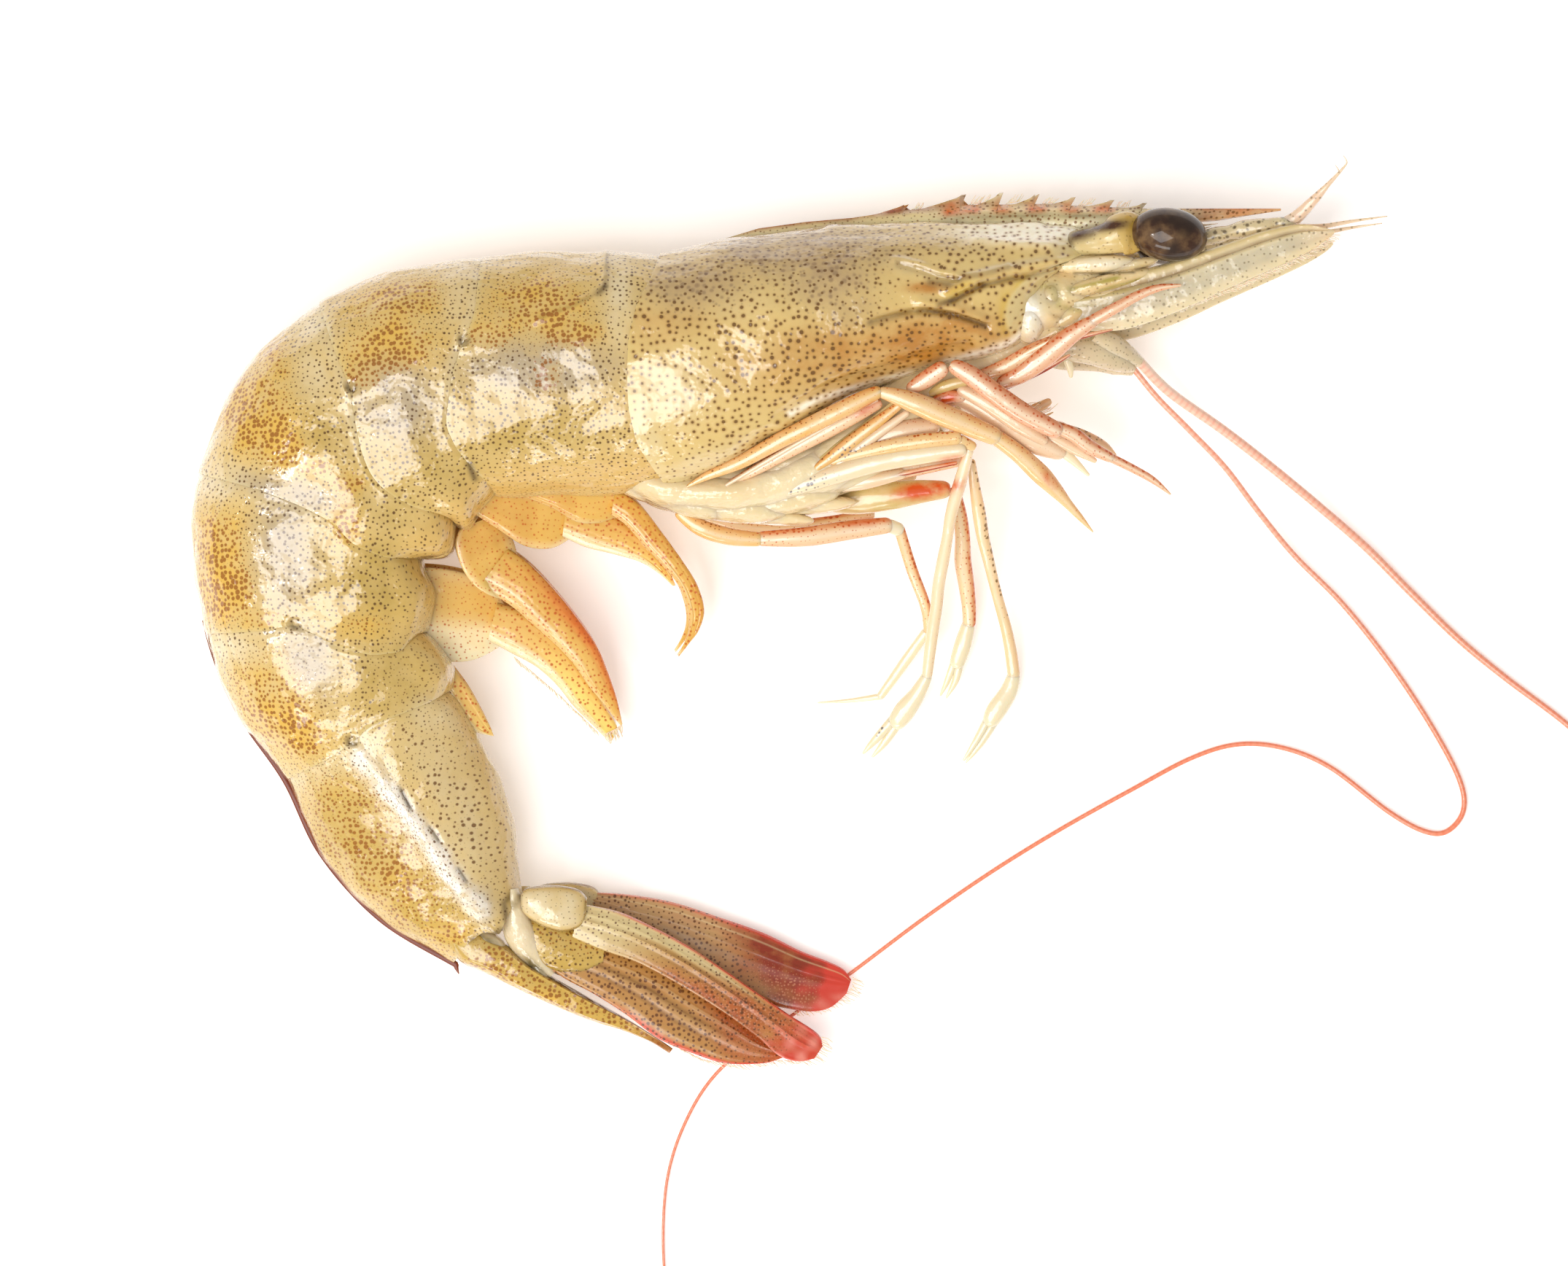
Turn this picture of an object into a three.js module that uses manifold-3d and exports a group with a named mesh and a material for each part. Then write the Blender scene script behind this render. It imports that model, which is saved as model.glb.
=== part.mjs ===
// A raw whiteleg shrimp with its head and shell on, lying on its left side, the tail curled under.
// Millimetres, +Z up. The head points along +X and the back faces +Y. The origin is on the table, under
// the rear of the carapace. "Right" pieces are the ones on top, "left" pieces the ones next to the table.
// Every piece is one closed faceted solid, skinned over rings: the trunk over oval rings that run from
// the back to the belly, and everything else over rings strung along a bent spine.

import * as THREE from "three";
import { mergeVertices } from "three/addons/utils/BufferGeometryUtils.js";
import Module from "manifold-3d";

const wasm = await Module();
wasm.setup();

// ---------------------------------------------------------------- driving sizes

const CLEARANCE = 0.3; // gap kept between two pieces that touch
const MID_PLANE = 8.3; // height of the head's plane of symmetry above the table
const BLADE_SIDES = 8;
const LIMB_SIDES = 6;

const FINISH = {
  shell: { color: 0xc9b27a, roughness: 0.3 },
  head_flesh: { color: 0xe2cf95, roughness: 0.35 },
  membrane: { color: 0xe6d9b4, roughness: 0.3 },
  swimmeret: { color: 0xdc9f45, roughness: 0.35 },
  leg: { color: 0xeac396, roughness: 0.35 },
  claw_leg: { color: 0xf3dfb0, roughness: 0.35 },
  pink_limb: { color: 0xe2a383, roughness: 0.35 },
  scale: { color: 0xd8cdaa, roughness: 0.35 },
  tail_blade: { color: 0xa8603c, roughness: 0.3 },
  feeler: { color: 0xe0714f, roughness: 0.4 },
  eye: { color: 0x2e211a, roughness: 0.1 },
};

// ---------------------------------------------------------------- curves and skins

// A row of numbers at t, from 0 to 1, on the smooth curve that passes through the given rows.
function rowAt(rows, t) {
  const last = rows.length - 1;
  const place = THREE.MathUtils.clamp(t, 0, 1) * last;
  const i = Math.min(Math.floor(place), last - 1);
  const f = place - i;
  const row = (k) => rows[THREE.MathUtils.clamp(k, 0, last)];
  return rows[0].map((_, c) => {
    const [a, b, d, e] = [row(i - 1)[c], row(i)[c], row(i + 1)[c], row(i + 2)[c]];
    return b + 0.5 * f * (d - a + f * (2 * a - 5 * b + 4 * d - e + f * (3 * (b - d) + e - a)));
  });
}

// A closed skin over rings of equally many points, with a fan over each end, pushed out by grow. Nothing
// goes below the table.
function skin(rings, grow = 0) {
  const sides = rings[0].length;
  const centreOf = (ring) => ring.reduce((sum, p) => sum.add(p), new THREE.Vector3()).divideScalar(sides);
  for (const [end, inner] of [[rings[0], rings[1]], [rings.at(-1), rings.at(-2)]]) {
    const outward = centreOf(end).sub(centreOf(inner)).setLength(grow);
    for (const p of end) p.add(outward);
  }
  const points = rings.flat();
  const index = [];
  for (let i = 0; i + 1 < rings.length; i++) {
    for (let j = 0; j < sides; j++) {
      const a = i * sides + j;
      const b = i * sides + ((j + 1) % sides);
      index.push(a, b, b + sides, a, b + sides, a + sides);
    }
  }
  for (const [ring, flip] of [[0, true], [rings.length - 1, false]]) {
    points.push(centreOf(rings[ring]));
    for (let j = 0; j < sides; j++) {
      const a = ring * sides + j;
      const b = ring * sides + ((j + 1) % sides);
      index.push(...(flip ? [b, a] : [a, b]), points.length - 1);
    }
  }
  const geometry = new THREE.BufferGeometry();
  geometry.setAttribute(
    "position",
    new THREE.Float32BufferAttribute(points.flatMap((p) => [p.x, p.y, Math.max(p.z, 0)]), 3),
  );
  geometry.setIndex(index);
  return geometry;
}

// One ring of a trunk station: [back x, y, belly x, y, middle z, half width, bow]. The flank is a
// rounded box low on the belly side and an oval on the back side; bow pushes the flank along the body.
function trunkRing([backX, backY, bellyX, bellyY, middle, halfWidth, bow = 0], sides, size, grow) {
  const axis = new THREE.Vector3(backX - bellyX, backY - bellyY, 0);
  const halfDepth = axis.length() / 2;
  axis.normalize();
  const along = new THREE.Vector3(axis.y, -axis.x, 0);
  const centre = new THREE.Vector3((backX + bellyX) / 2, (backY + bellyY) / 2, middle);
  return Array.from({ length: sides }, (_, j) => {
    const angle = (j / sides) * 2 * Math.PI;
    const [c, s] = [Math.cos(angle), Math.sin(angle)];
    const boxy = c > 0 ? 0.96 : 0.78;
    const up = Math.sign(c) * Math.abs(c) ** boxy * (halfDepth * size + grow);
    const out = Math.sign(s) * Math.abs(s) ** boxy * (halfWidth * size + grow);
    return centre
      .clone()
      .addScaledVector(axis, up)
      .addScaledVector(along, bow * (1 - (up / halfDepth) ** 2))
      .add(new THREE.Vector3(0, 0, out));
  });
}

// A stretch of trunk from one station to another. Flare scales its first and last ring.
function trunk(stations, [from, to], count, sides, flare, grow) {
  const rings = Array.from({ length: count }, (_, i) => {
    const f = i / (count - 1);
    const t = THREE.MathUtils.lerp(from, to, f) / (stations.length - 1);
    return trunkRing(rowAt(stations, t), sides, THREE.MathUtils.lerp(...flare, f * f), grow);
  });
  const towardsTail = stations[0][0] > stations.at(-1)[0];
  return skin(towardsTail ? rings.reverse() : rings, grow);
}

// Rings along a spine of rows [x, y, z, half width, half thickness]. The width lies in the table's
// plane and the thickness stands on it.
function sweepRings(rows, sides, grow) {
  return rows.map((row, i) => {
    const [before, after] = [rows[Math.max(i - 1, 0)], rows[Math.min(i + 1, rows.length - 1)]];
    const tangent = new THREE.Vector3(...after.slice(0, 3)).sub(new THREE.Vector3(...before.slice(0, 3)));
    const across = new THREE.Vector3(-tangent.y, tangent.x, 0).normalize();
    const lift = tangent.clone().normalize().cross(across);
    return Array.from({ length: sides }, (_, j) => {
      const angle = ((j + 0.5) / sides) * 2 * Math.PI;
      const [w, h] = [Math.cos(angle) * (row[3] + grow), Math.sin(angle) * (row[4] + grow)];
      return new THREE.Vector3(...row.slice(0, 3))
        .addScaledVector(across, w)
        .addScaledVector(lift, h);
    });
  });
}

// A blade, stalk or whisker: a smooth sweep through a few rows.
function sweep(rows, steps, sides, grow) {
  const spine = Array.from({ length: steps + 1 }, (_, i) => rowAt(rows, i / steps));
  return skin(sweepRings(spine, sides, grow), grow);
}

const LIMB = {
  clearOfJoint: 1.5, // girths from a joint to where a stretch has its full size
  swellAfterJoint: 1.14,
  swellBeforeJoint: 0.98,
  sharpestMitre: 0.6,
};

// A jointed limb through rows [x, y, z, girth]: straight stretches that swell after each joint, with a
// mitre at the joint itself.
function limb(joints, grow) {
  const at = (k) => new THREE.Vector3(...joints[k].slice(0, 3));
  const last = joints.length - 1;
  const rows = [];
  for (let k = 0; k <= last; k++) {
    const girth = joints[k][3];
    const isBend = k > 0 && k < last;
    const bend = isBend ? at(k).sub(at(k - 1)).angleTo(at(k + 1).sub(at(k))) : 0;
    rows.push([...at(k), girth / Math.max(Math.cos(bend / 2), LIMB.sharpestMitre), girth]);
    if (k === last) break;
    const clear = Math.min((girth * LIMB.clearOfJoint) / at(k + 1).distanceTo(at(k)), 0.35);
    for (const [f, swell] of [[clear, LIMB.swellAfterJoint], [1 - clear, LIMB.swellBeforeJoint]]) {
      const size = THREE.MathUtils.lerp(girth, joints[k + 1][3], f) * swell;
      rows.push([...at(k).lerp(at(k + 1), f), size, size]);
    }
  }
  return skin(sweepRings(rows, LIMB_SIDES, grow), grow);
}

// ---------------------------------------------------------------- joining and cutting

function solidOf(geometry) {
  const bare = geometry.clone();
  for (const name of ["normal", "uv"]) bare.deleteAttribute(name);
  const merged = mergeVertices(bare, 1e-4);
  const mesh = new wasm.Mesh({
    numProp: 3,
    vertProperties: new Float32Array(merged.attributes.position.array),
    triVerts: new Uint32Array(merged.index.array),
  });
  return new wasm.Manifold(mesh);
}

const joined = (geometries) => geometries.map(solidOf).reduce((sum, part) => sum.add(part));

function geometryOf(solid) {
  const { vertProperties, triVerts } = solid.getMesh();
  const geometry = new THREE.BufferGeometry();
  geometry.setAttribute("position", new THREE.BufferAttribute(new Float32Array(vertProperties), 3));
  geometry.setIndex(new THREE.BufferAttribute(new Uint32Array(triVerts), 1));
  return geometry;
}

const boxesMeet = (a, b) =>
  [0, 1, 2].every((i) => a.min[i] < b.max[i] + CLEARANCE && b.min[i] < a.max[i] + CLEARANCE);

const shrimp = new THREE.Group();
const placed = [];

// Adds a piece. make(grow) returns its geometries, swollen by grow. Where it would run into a piece
// placed earlier, it is cut back to leave the clearance, and only its largest remainder is kept.
function place(name, finish, make) {
  let solid = joined(make(0));
  const box = solid.boundingBox();
  for (const other of placed) {
    if (!boxesMeet(box, other.box)) continue;
    if (solid.intersect(other.swollen).volume() > 0) solid = solid.subtract(other.swollen);
  }
  solid = solid.decompose().reduce((most, part) => (part.volume() > most.volume() ? part : most));
  placed.push({ box, swollen: joined(make(CLEARANCE)) });
  const mesh = new THREE.Mesh(geometryOf(solid), new THREE.MeshStandardMaterial(FINISH[finish]));
  mesh.name = name;
  shrimp.add(mesh);
}

// The same rows on the side next to the table, moved a little in the table's plane.
function mirrored(rows, [dx, dy]) {
  return rows.map(([x, y, z, ...sizes]) => [x + dx, y + dy, 2 * MID_PLANE - z, ...sizes]);
}

// ---------------------------------------------------------------- abdomen

const ABDOMEN = [
  // back x, y     belly x, y    mid z  half width
  [-1.5, 9.9, -2.5, -9.6, 8.2, 7.6],
  [-9.0, 10.4, -8.6, -10.0, 8.3, 8.2],
  [-15.7, 10.1, -15.0, -11.2, 8.3, 8.3],
  [-22.8, 8.8, -17.2, -13.0, 8.2, 8.2],
  [-29.4, 6.3, -18.6, -14.6, 8.1, 8.1],
  [-35.9, 0.4, -20.4, -16.4, 7.9, 7.9],
  [-40.1, -8.4, -20.5, -18.2, 7.6, 7.6],
  [-40.4, -15.2, -20.2, -21.2, 7.2, 7.2],
  [-39.5, -22.2, -19.4, -24.3, 6.8, 6.8],
  [-36.9, -28.8, -17.9, -27.4, 6.3, 6.3],
  [-32.7, -34.9, -16.4, -30.8, 5.8, 5.7],
  [-29.6, -41.2, -14.3, -35.4, 5.3, 5.1],
  [-24.6, -46.8, -12.9, -40.0, 4.8, 4.6],
  [-18.4, -50.6, -12.2, -44.2, 4.6, 3.9],
];
const SEGMENT_STATIONS = [0, 2, 4, 6, 8, 10, 13]; // where each segment ends and the next begins
const SEGMENT_FLARE = [0.965, 1.015]; // a segment's rear rim stands out a little
const SEGMENT_RINGS = { usual: 5, last: 7 };
const TRUNK_SIDES = 20;

// ---------------------------------------------------------------- carapace with its rostrum

const CARAPACE_RINGS = 12;
const CARAPACE_SIDES = 24;
const CARAPACE = [
  // as above, then the bow; it rests on a small flat, where it reaches below the table
  [-0.2, 10.5, -0.4, -9.9, 8.3, 8.6, -3.2],
  [4.5, 11.4, 3.4, -9.3, 8.3, 8.8, -1.6],
  [10.5, 12.2, 9.5, -6.0, 8.3, 8.8, 0],
  [16.5, 12.7, 16.0, -1.9, 8.3, 8.2, 0],
  [22.5, 12.8, 22.6, 0.9, 8.3, 7.3, 0],
  [27.5, 12.9, 28.0, 2.4, 8.3, 6.3, 0.8],
  [31.0, 12.9, 30.4, 6.2, 8.3, 5.2, 0.5],
  [34.5, 12.9, 33.8, 9.9, 8.3, 3.8, 0],
];

// The crest: a thin blade along the back that grows into the toothed rostrum.
const CREST = {
  thickness: 0.9,
  top: [
    [3, 10.9], [8, 12.4], [12, 12.95], [16, 13.3], [20, 13.9], [26, 14.4], [32, 14.5], [41, 14.1], [50, 14.1],
  ],
  tip: [52.9, 14.1],
  underside: [[47.3, 13.05], [44, 12.9], [36, 12.2], [26, 11.4], [12, 10.8], [6, 10.4]],
  teeth: [
    // tip x, height, how far back its slope starts
    [20.9, 0.5, 3.4],
    [25.8, 0.95, 4.3],
    [29.0, 1.05, 2.5],
    [32.1, 0.9, 2.4],
    [35.2, 0.75, 2.4],
    [38.5, 0.65, 2.5],
    [41.3, 0.5, 2.1],
  ],
  toothUndercut: 0.55, // how far the notch in front of a tooth reaches back under its tip
};

const crestTopAt = (x) => {
  const after = CREST.top.findIndex(([px]) => px >= x);
  const [[x0, y0], [x1, y1]] = [CREST.top[after - 1], CREST.top[after]];
  return THREE.MathUtils.lerp(y0, y1, (x - x0) / (x1 - x0));
};

function crest(grow) {
  const outline = [];
  const firstTooth = CREST.teeth[0][0] - CREST.teeth[0][2];
  const lastTooth = CREST.teeth.at(-1)[0];
  for (const [x, y] of CREST.top.filter(([px]) => px < firstTooth)) outline.push([x, y + grow]);
  for (const [tipX, height, back] of CREST.teeth) {
    outline.push([tipX - back, crestTopAt(tipX - back) + grow]);
    outline.push([tipX, crestTopAt(tipX) + height + grow]);
    outline.push([tipX - CREST.toothUndercut, crestTopAt(tipX) + grow]);
  }
  for (const [x, y] of CREST.top.filter(([px]) => px > lastTooth)) outline.push([x, y + grow]);
  outline.push([CREST.tip[0] + grow, CREST.tip[1]]);
  for (const [x, y] of CREST.underside) outline.push([x, y - grow]);
  const shape = new THREE.Shape(outline.map(([x, y]) => new THREE.Vector2(x, y)));
  const depth = CREST.thickness + 2 * grow;
  const blade = new THREE.ExtrudeGeometry(shape, { depth, bevelEnabled: false });
  return blade.translate(0, 0, MID_PLANE - depth / 2);
}

const ROSTRUM_BASE = [
  // the thicker root of the rostrum, between the eyes
  [26, 12.0, MID_PLANE, 0.9, 3.0],
  [31, 12.6, MID_PLANE, 1.1, 2.6],
  [36, 13.1, MID_PLANE, 0.95, 1.9],
  [41, 13.4, MID_PLANE, 0.7, 1.2],
  [47, 13.6, MID_PLANE, 0.4, 0.7],
];

place("carapace", "shell", (grow) => [
  trunk(CARAPACE, [0, CARAPACE.length - 1], CARAPACE_RINGS, CARAPACE_SIDES, [1, 1], grow),
  crest(grow),
  sweep(ROSTRUM_BASE, 5, BLADE_SIDES, grow),
]);

// The far side of the last segment's shell, which shows past its belly edge.
const FAR_SKIRT = [
  [-15.8, -33.0, 3.6, 0.5, 1.4],
  [-14.2, -38.2, 3.6, 1.1, 2.2],
  [-12.9, -41.6, 3.6, 1.25, 2.2],
  [-11.9, -43.9, 3.6, 1.2, 1.9],
];
for (let i = 1; i < SEGMENT_STATIONS.length; i++) {
  const [from, to] = [SEGMENT_STATIONS[i - 1], SEGMENT_STATIONS[i]];
  const isLast = i === SEGMENT_STATIONS.length - 1;
  const rings = isLast ? SEGMENT_RINGS.last : SEGMENT_RINGS.usual;
  place(`abdomen_${i}`, "shell", (grow) => [
    trunk(ABDOMEN, [from, to], rings, TRUNK_SIDES, SEGMENT_FLARE, grow),
    ...(isLast ? [sweep(FAR_SKIRT, 3, 6, grow)] : []),
  ]);
}

// ---------------------------------------------------------------- tail fan

const TELSON = [
  [-16.6, -47.4, 4.6, 2.5, 2.2],
  [-12.9, -50.2, 4.4, 2.4, 2.3],
  [-7.8, -53.6, 3.9, 1.55, 1.8],
  [-3.0, -56.4, 3.3, 0.6, 1.0],
  [0.5, -58.4, 3.0, 0.06, 0.1],
];
place("telson", "shell", (grow) => [sweep(TELSON, 7, BLADE_SIDES, grow)]);

const UROPOD = {
  base: [
    [-13.2, -46.4, 6.4, 1.6, 1.2],
    [-11.4, -46.4, 6.8, 2.1, 1.7],
    [-9.2, -46.2, 6.9, 2.1, 1.7],
    [-7.2, -46.4, 6.6, 1.3, 1.1],
  ],
  outer: [
    [-7.6, -46.7, 6.4, 1.0, 0.7],
    [-3.0, -48.1, 6.1, 1.7, 0.65],
    [2.0, -50.8, 5.6, 2.0, 0.55],
    [7.0, -54.3, 5.0, 2.1, 0.5],
    [11.2, -57.0, 4.4, 1.8, 0.4],
    [13.6, -58.2, 4.1, 0.8, 0.25],
  ],
  inner: [
    [-10.8, -48.8, 5.3, 1.3, 0.6],
    [-4.6, -52.4, 4.6, 1.9, 0.55],
    [1.5, -56.0, 3.9, 2.2, 0.5],
    [7.0, -58.6, 3.4, 1.3, 0.35],
    [9.8, -59.3, 3.2, 0.4, 0.2],
  ],
};
const FAR_BASE = UROPOD.base.map(([x, y, , w, h]) => [x + 1.1, y + 0.15, 2.6, w, h]);
const FAR_OUTER = [
  [-6.2, -45.9, 2.5, 1.2, 0.65],
  [0.0, -47.6, 2.2, 2.3, 0.6],
  [6.0, -49.9, 1.9, 2.9, 0.5],
  [12.0, -52.3, 1.7, 2.7, 0.4],
  [16.1, -53.2, 1.6, 1.0, 0.25],
];
const FAR_INNER = UROPOD.inner.map(([x, y, , w, h]) => [x + 0.5, y + 1.2, 1.7, w * 0.9, h]);

const twoUropods = [
  ["right", UROPOD.base, UROPOD.outer, UROPOD.inner],
  ["left", FAR_BASE, FAR_OUTER, FAR_INNER],
];
for (const [side, base, outer, inner] of twoUropods) {
  place(`uropod_base_${side}`, "shell", (grow) => [sweep(base, 6, BLADE_SIDES, grow)]);
  place(`uropod_outer_${side}`, "tail_blade", (grow) => [sweep(outer, 7, BLADE_SIDES, grow)]);
  place(`uropod_inner_${side}`, "tail_blade", (grow) => [sweep(inner, 7, BLADE_SIDES, grow)]);
}

// ---------------------------------------------------------------- head, eyes and mouth side

const THORAX = [
  [-3.4, -8.7, 8.3, 1.2, 3.6],
  [1.0, -10.1, 8.3, 2.0, 4.4],
  [5.0, -10.4, 8.3, 2.2, 4.4],
  [10.0, -9.5, 8.2, 2.6, 4.2],
  [16.0, -6.8, 8.1, 3.3, 3.8],
  [22.0, -2.6, 8.1, 3.4, 3.4],
  [28.0, 1.0, 8.1, 2.8, 2.8],
  [33.0, 3.2, 8.2, 1.5, 1.6],
];
place("thorax", "membrane", (grow) => [sweep(THORAX, 12, 10, grow)]);

const HEAD = [
  [28.0, 5.6, 8.3, 2.8, 4.4],
  [31.5, 5.8, 8.3, 3.4, 4.5],
  [35.0, 7.3, 8.3, 3.3, 3.8],
  [38.0, 8.6, 8.3, 2.3, 2.6],
  [40.8, 9.6, 8.3, 0.9, 1.2],
];
place("head", "head_flesh", (grow) => [sweep(HEAD, 8, 10, grow)]);

const EYE = { at: [43.1, 11.75, 12.2], radii: [3.25, 2.3, 2.3], tilt: -6 };
const EYE_STALK = [
  [35.0, 10.9, 10.0, 0.9, 0.9],
  [38.0, 11.4, 11.2, 1.2, 1.2],
  [41.0, 11.8, 12.0, 1.9, 1.8],
];
function eyeBall([x, y, z], grow) {
  return new THREE.SphereGeometry(1, 16, 8)
    .scale(...EYE.radii.map((r) => r + grow))
    .rotateZ(THREE.MathUtils.degToRad(EYE.tilt))
    .translate(x, y, z);
}
for (const side of ["right", "left"]) {
  const isLeft = side === "left";
  const at = isLeft ? mirrored([EYE.at], [-0.2, 0.1])[0] : EYE.at;
  const stalk = isLeft ? mirrored(EYE_STALK, [-0.2, 0.1]) : EYE_STALK;
  place(`eye_${side}`, "eye", (grow) => [eyeBall(at, grow)]);
  place(`eyestalk_${side}`, "head_flesh", (grow) => [sweep(stalk, 5, BLADE_SIDES, grow)]);
}

const ANTENNULE = {
  stem: [
    [45.6, 11.3, 9.6, 0.5, 0.6],
    [48.6, 12.0, 9.9, 0.8, 0.75],
    [51.4, 12.6, 10.1, 0.75, 0.7],
    [53.6, 12.7, 10.2, 0.45, 0.45],
  ],
  whiskers: [
    [
      [53.0, 12.8, 10.2, 0.4, 0.35],
      [55.0, 14.2, 10.6, 0.38, 0.25],
      [57.0, 16.2, 11.0, 0.2, 0.15],
      [58.1, 18.4, 11.3, 0.07, 0.07],
    ],
    [
      [53.0, 12.4, 10.0, 0.4, 0.35],
      [56.0, 12.5, 9.8, 0.25, 0.2],
      [59.0, 13.0, 9.6, 0.14, 0.12],
      [61.8, 13.4, 9.4, 0.07, 0.07],
    ],
  ],
};
for (const side of ["right", "left"]) {
  const put = (rows) => (side === "left" ? mirrored(rows, [-0.3, -0.5]) : rows);
  place(`antennule_${side}`, "scale", (grow) => [
    sweep(put(ANTENNULE.stem), 5, 6, grow),
    ...ANTENNULE.whiskers.map((rows) => sweep(put(rows), 5, 5, grow)),
  ]);
}

const ANTENNAL_SCALE = [
  [35.4, 6.0, 11.6, 1.4, 1.0],
  [40.0, 6.8, 11.8, 2.1, 0.6],
  [45.5, 8.5, 11.6, 2.05, 0.5],
  [51.0, 10.4, 11.2, 1.75, 0.42],
  [55.3, 11.6, 10.9, 1.0, 0.32],
  [57.1, 12.0, 10.8, 0.3, 0.2],
];
for (const side of ["right", "left"]) {
  const rows = side === "left" ? mirrored(ANTENNAL_SCALE, [0.2, -0.75]) : ANTENNAL_SCALE;
  place(`antennal_scale_${side}`, "scale", (grow) => [sweep(rows, 7, 6, grow)]);
}

const ANTENNA_BASE = {
  right: [
    [33.6, 2.8, 8.9, 1.2, 1.3],
    [36.6, 2.9, 8.2, 1.15, 1.1],
    [38.8, 2.3, 7.2, 0.95, 0.9],
    [40.2, 1.4, 6.5, 0.7, 0.65],
  ],
  left: [
    [32.8, 1.6, 4.9, 1.1, 1.2],
    [36.0, 1.5, 4.6, 1.2, 1.1],
    [38.6, 0.9, 4.2, 0.9, 0.85],
    [40.0, 0.5, 4.0, 0.55, 0.55],
  ],
};
// Each long feeler leaves its base, comes down to the table and lies along it, tapering to its tip.
const FEELER = {
  right: [
    [40.5, 1.3, 6.6], [42.3, -0.6, 6.0], [44.1, -2.1, 5.5], [48.2, -4.9, 4.2], [52.3, -8.0, 2.9],
    [56.4, -11.3, 1.7], [60.5, -14.8, 0.8], [64.5, -18.8, 0.5], [68.6, -22.8, 0.45], [72.6, -26.1, 0.42],
    [78.0, -30.2, 0.4], [81.6, -33.8, 0.4], [83.2, -38.4, 0.4], [82.2, -43.2, 0.4], [79.4, -46.8, 0.4],
  ],
  left: [
    [40.4, 0.4, 3.9], [42.4, -2.0, 3.6], [45.2, -4.8, 3.1], [48.3, -8.0, 2.4], [51.3, -11.9, 1.6],
    [54.4, -15.6, 0.9], [58.5, -19.7, 0.5], [62.5, -24.7, 0.4], [66.1, -30.1, 0.4], [68.6, -34.8, 0.4],
    [69.0, -37.6, 0.4], [67.6, -39.4, 0.4], [65.6, -39.4, 0.4], [62.5, -37.7, 0.4], [57.5, -33.9, 0.4],
    [53.4, -32.2, 0.4], [49.4, -31.9, 0.4], [45.4, -33.1, 0.4], [40.3, -35.8, 0.4], [34.2, -39.2, 0.3],
    [28.2, -42.9, 0.3], [22.1, -47.1, 0.3], [16.1, -51.6, 0.3], [10.0, -56.0, 0.3], [4.7, -60.0, 0.3],
    [1.7, -64.5, 0.3], [0.0, -70.0, 0.3], [-0.2, -77.1, 0.3], [0.9, -81.4, 0.3], [3.4, -84.6, 0.3],
  ],
  rootRadius: { right: 0.44, left: 0.28 },
  tipRadius: 0.1,
};
for (const side of ["right", "left"]) {
  const rows = FEELER[side].map(([x, y, z], i, all) => {
    const outwards = i / (all.length - 1);
    const radius = THREE.MathUtils.lerp(FEELER.rootRadius[side], FEELER.tipRadius, outwards ** 2);
    return [x, y, Math.max(z, radius), radius, radius];
  });
  place(`antenna_base_${side}`, "head_flesh", (grow) => [sweep(ANTENNA_BASE[side], 5, BLADE_SIDES, grow)]);
  place(`antenna_${side}`, "feeler", (grow) => [sweep(rows, Math.round(rows.length * 1.7), 5, grow)]);
}

// ---------------------------------------------------------------- mouth limbs and walking legs

// Joint rows are [x, y, z, girth], from the root. The right one crosses over the left one, whose end lies
// on the antennal scale.
const MAXILLIPED = {
  right: [
    [21.4, -1.4, 12.6, 0.8], [24.8, 0.6, 14.4, 0.85], [35.4, -6.1, 11.4, 0.85], [38.2, -7.7, 10.4, 0.6],
    [43.3, -10.6, 8.6, 0.08],
  ],
  left: [
    [24.4, -3.0, 9.2, 0.8], [32.8, 1.8, 12.2, 0.85], [37.2, 4.3, 13.1, 0.7], [41.2, 6.9, 13.2, 0.5],
    [43.9, 7.3, 13.1, 0.08],
  ],
};
for (const side of ["right", "left"]) {
  place(`maxilliped_${side}`, "pink_limb", (grow) => [limb(MAXILLIPED[side], grow)]);
}

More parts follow.
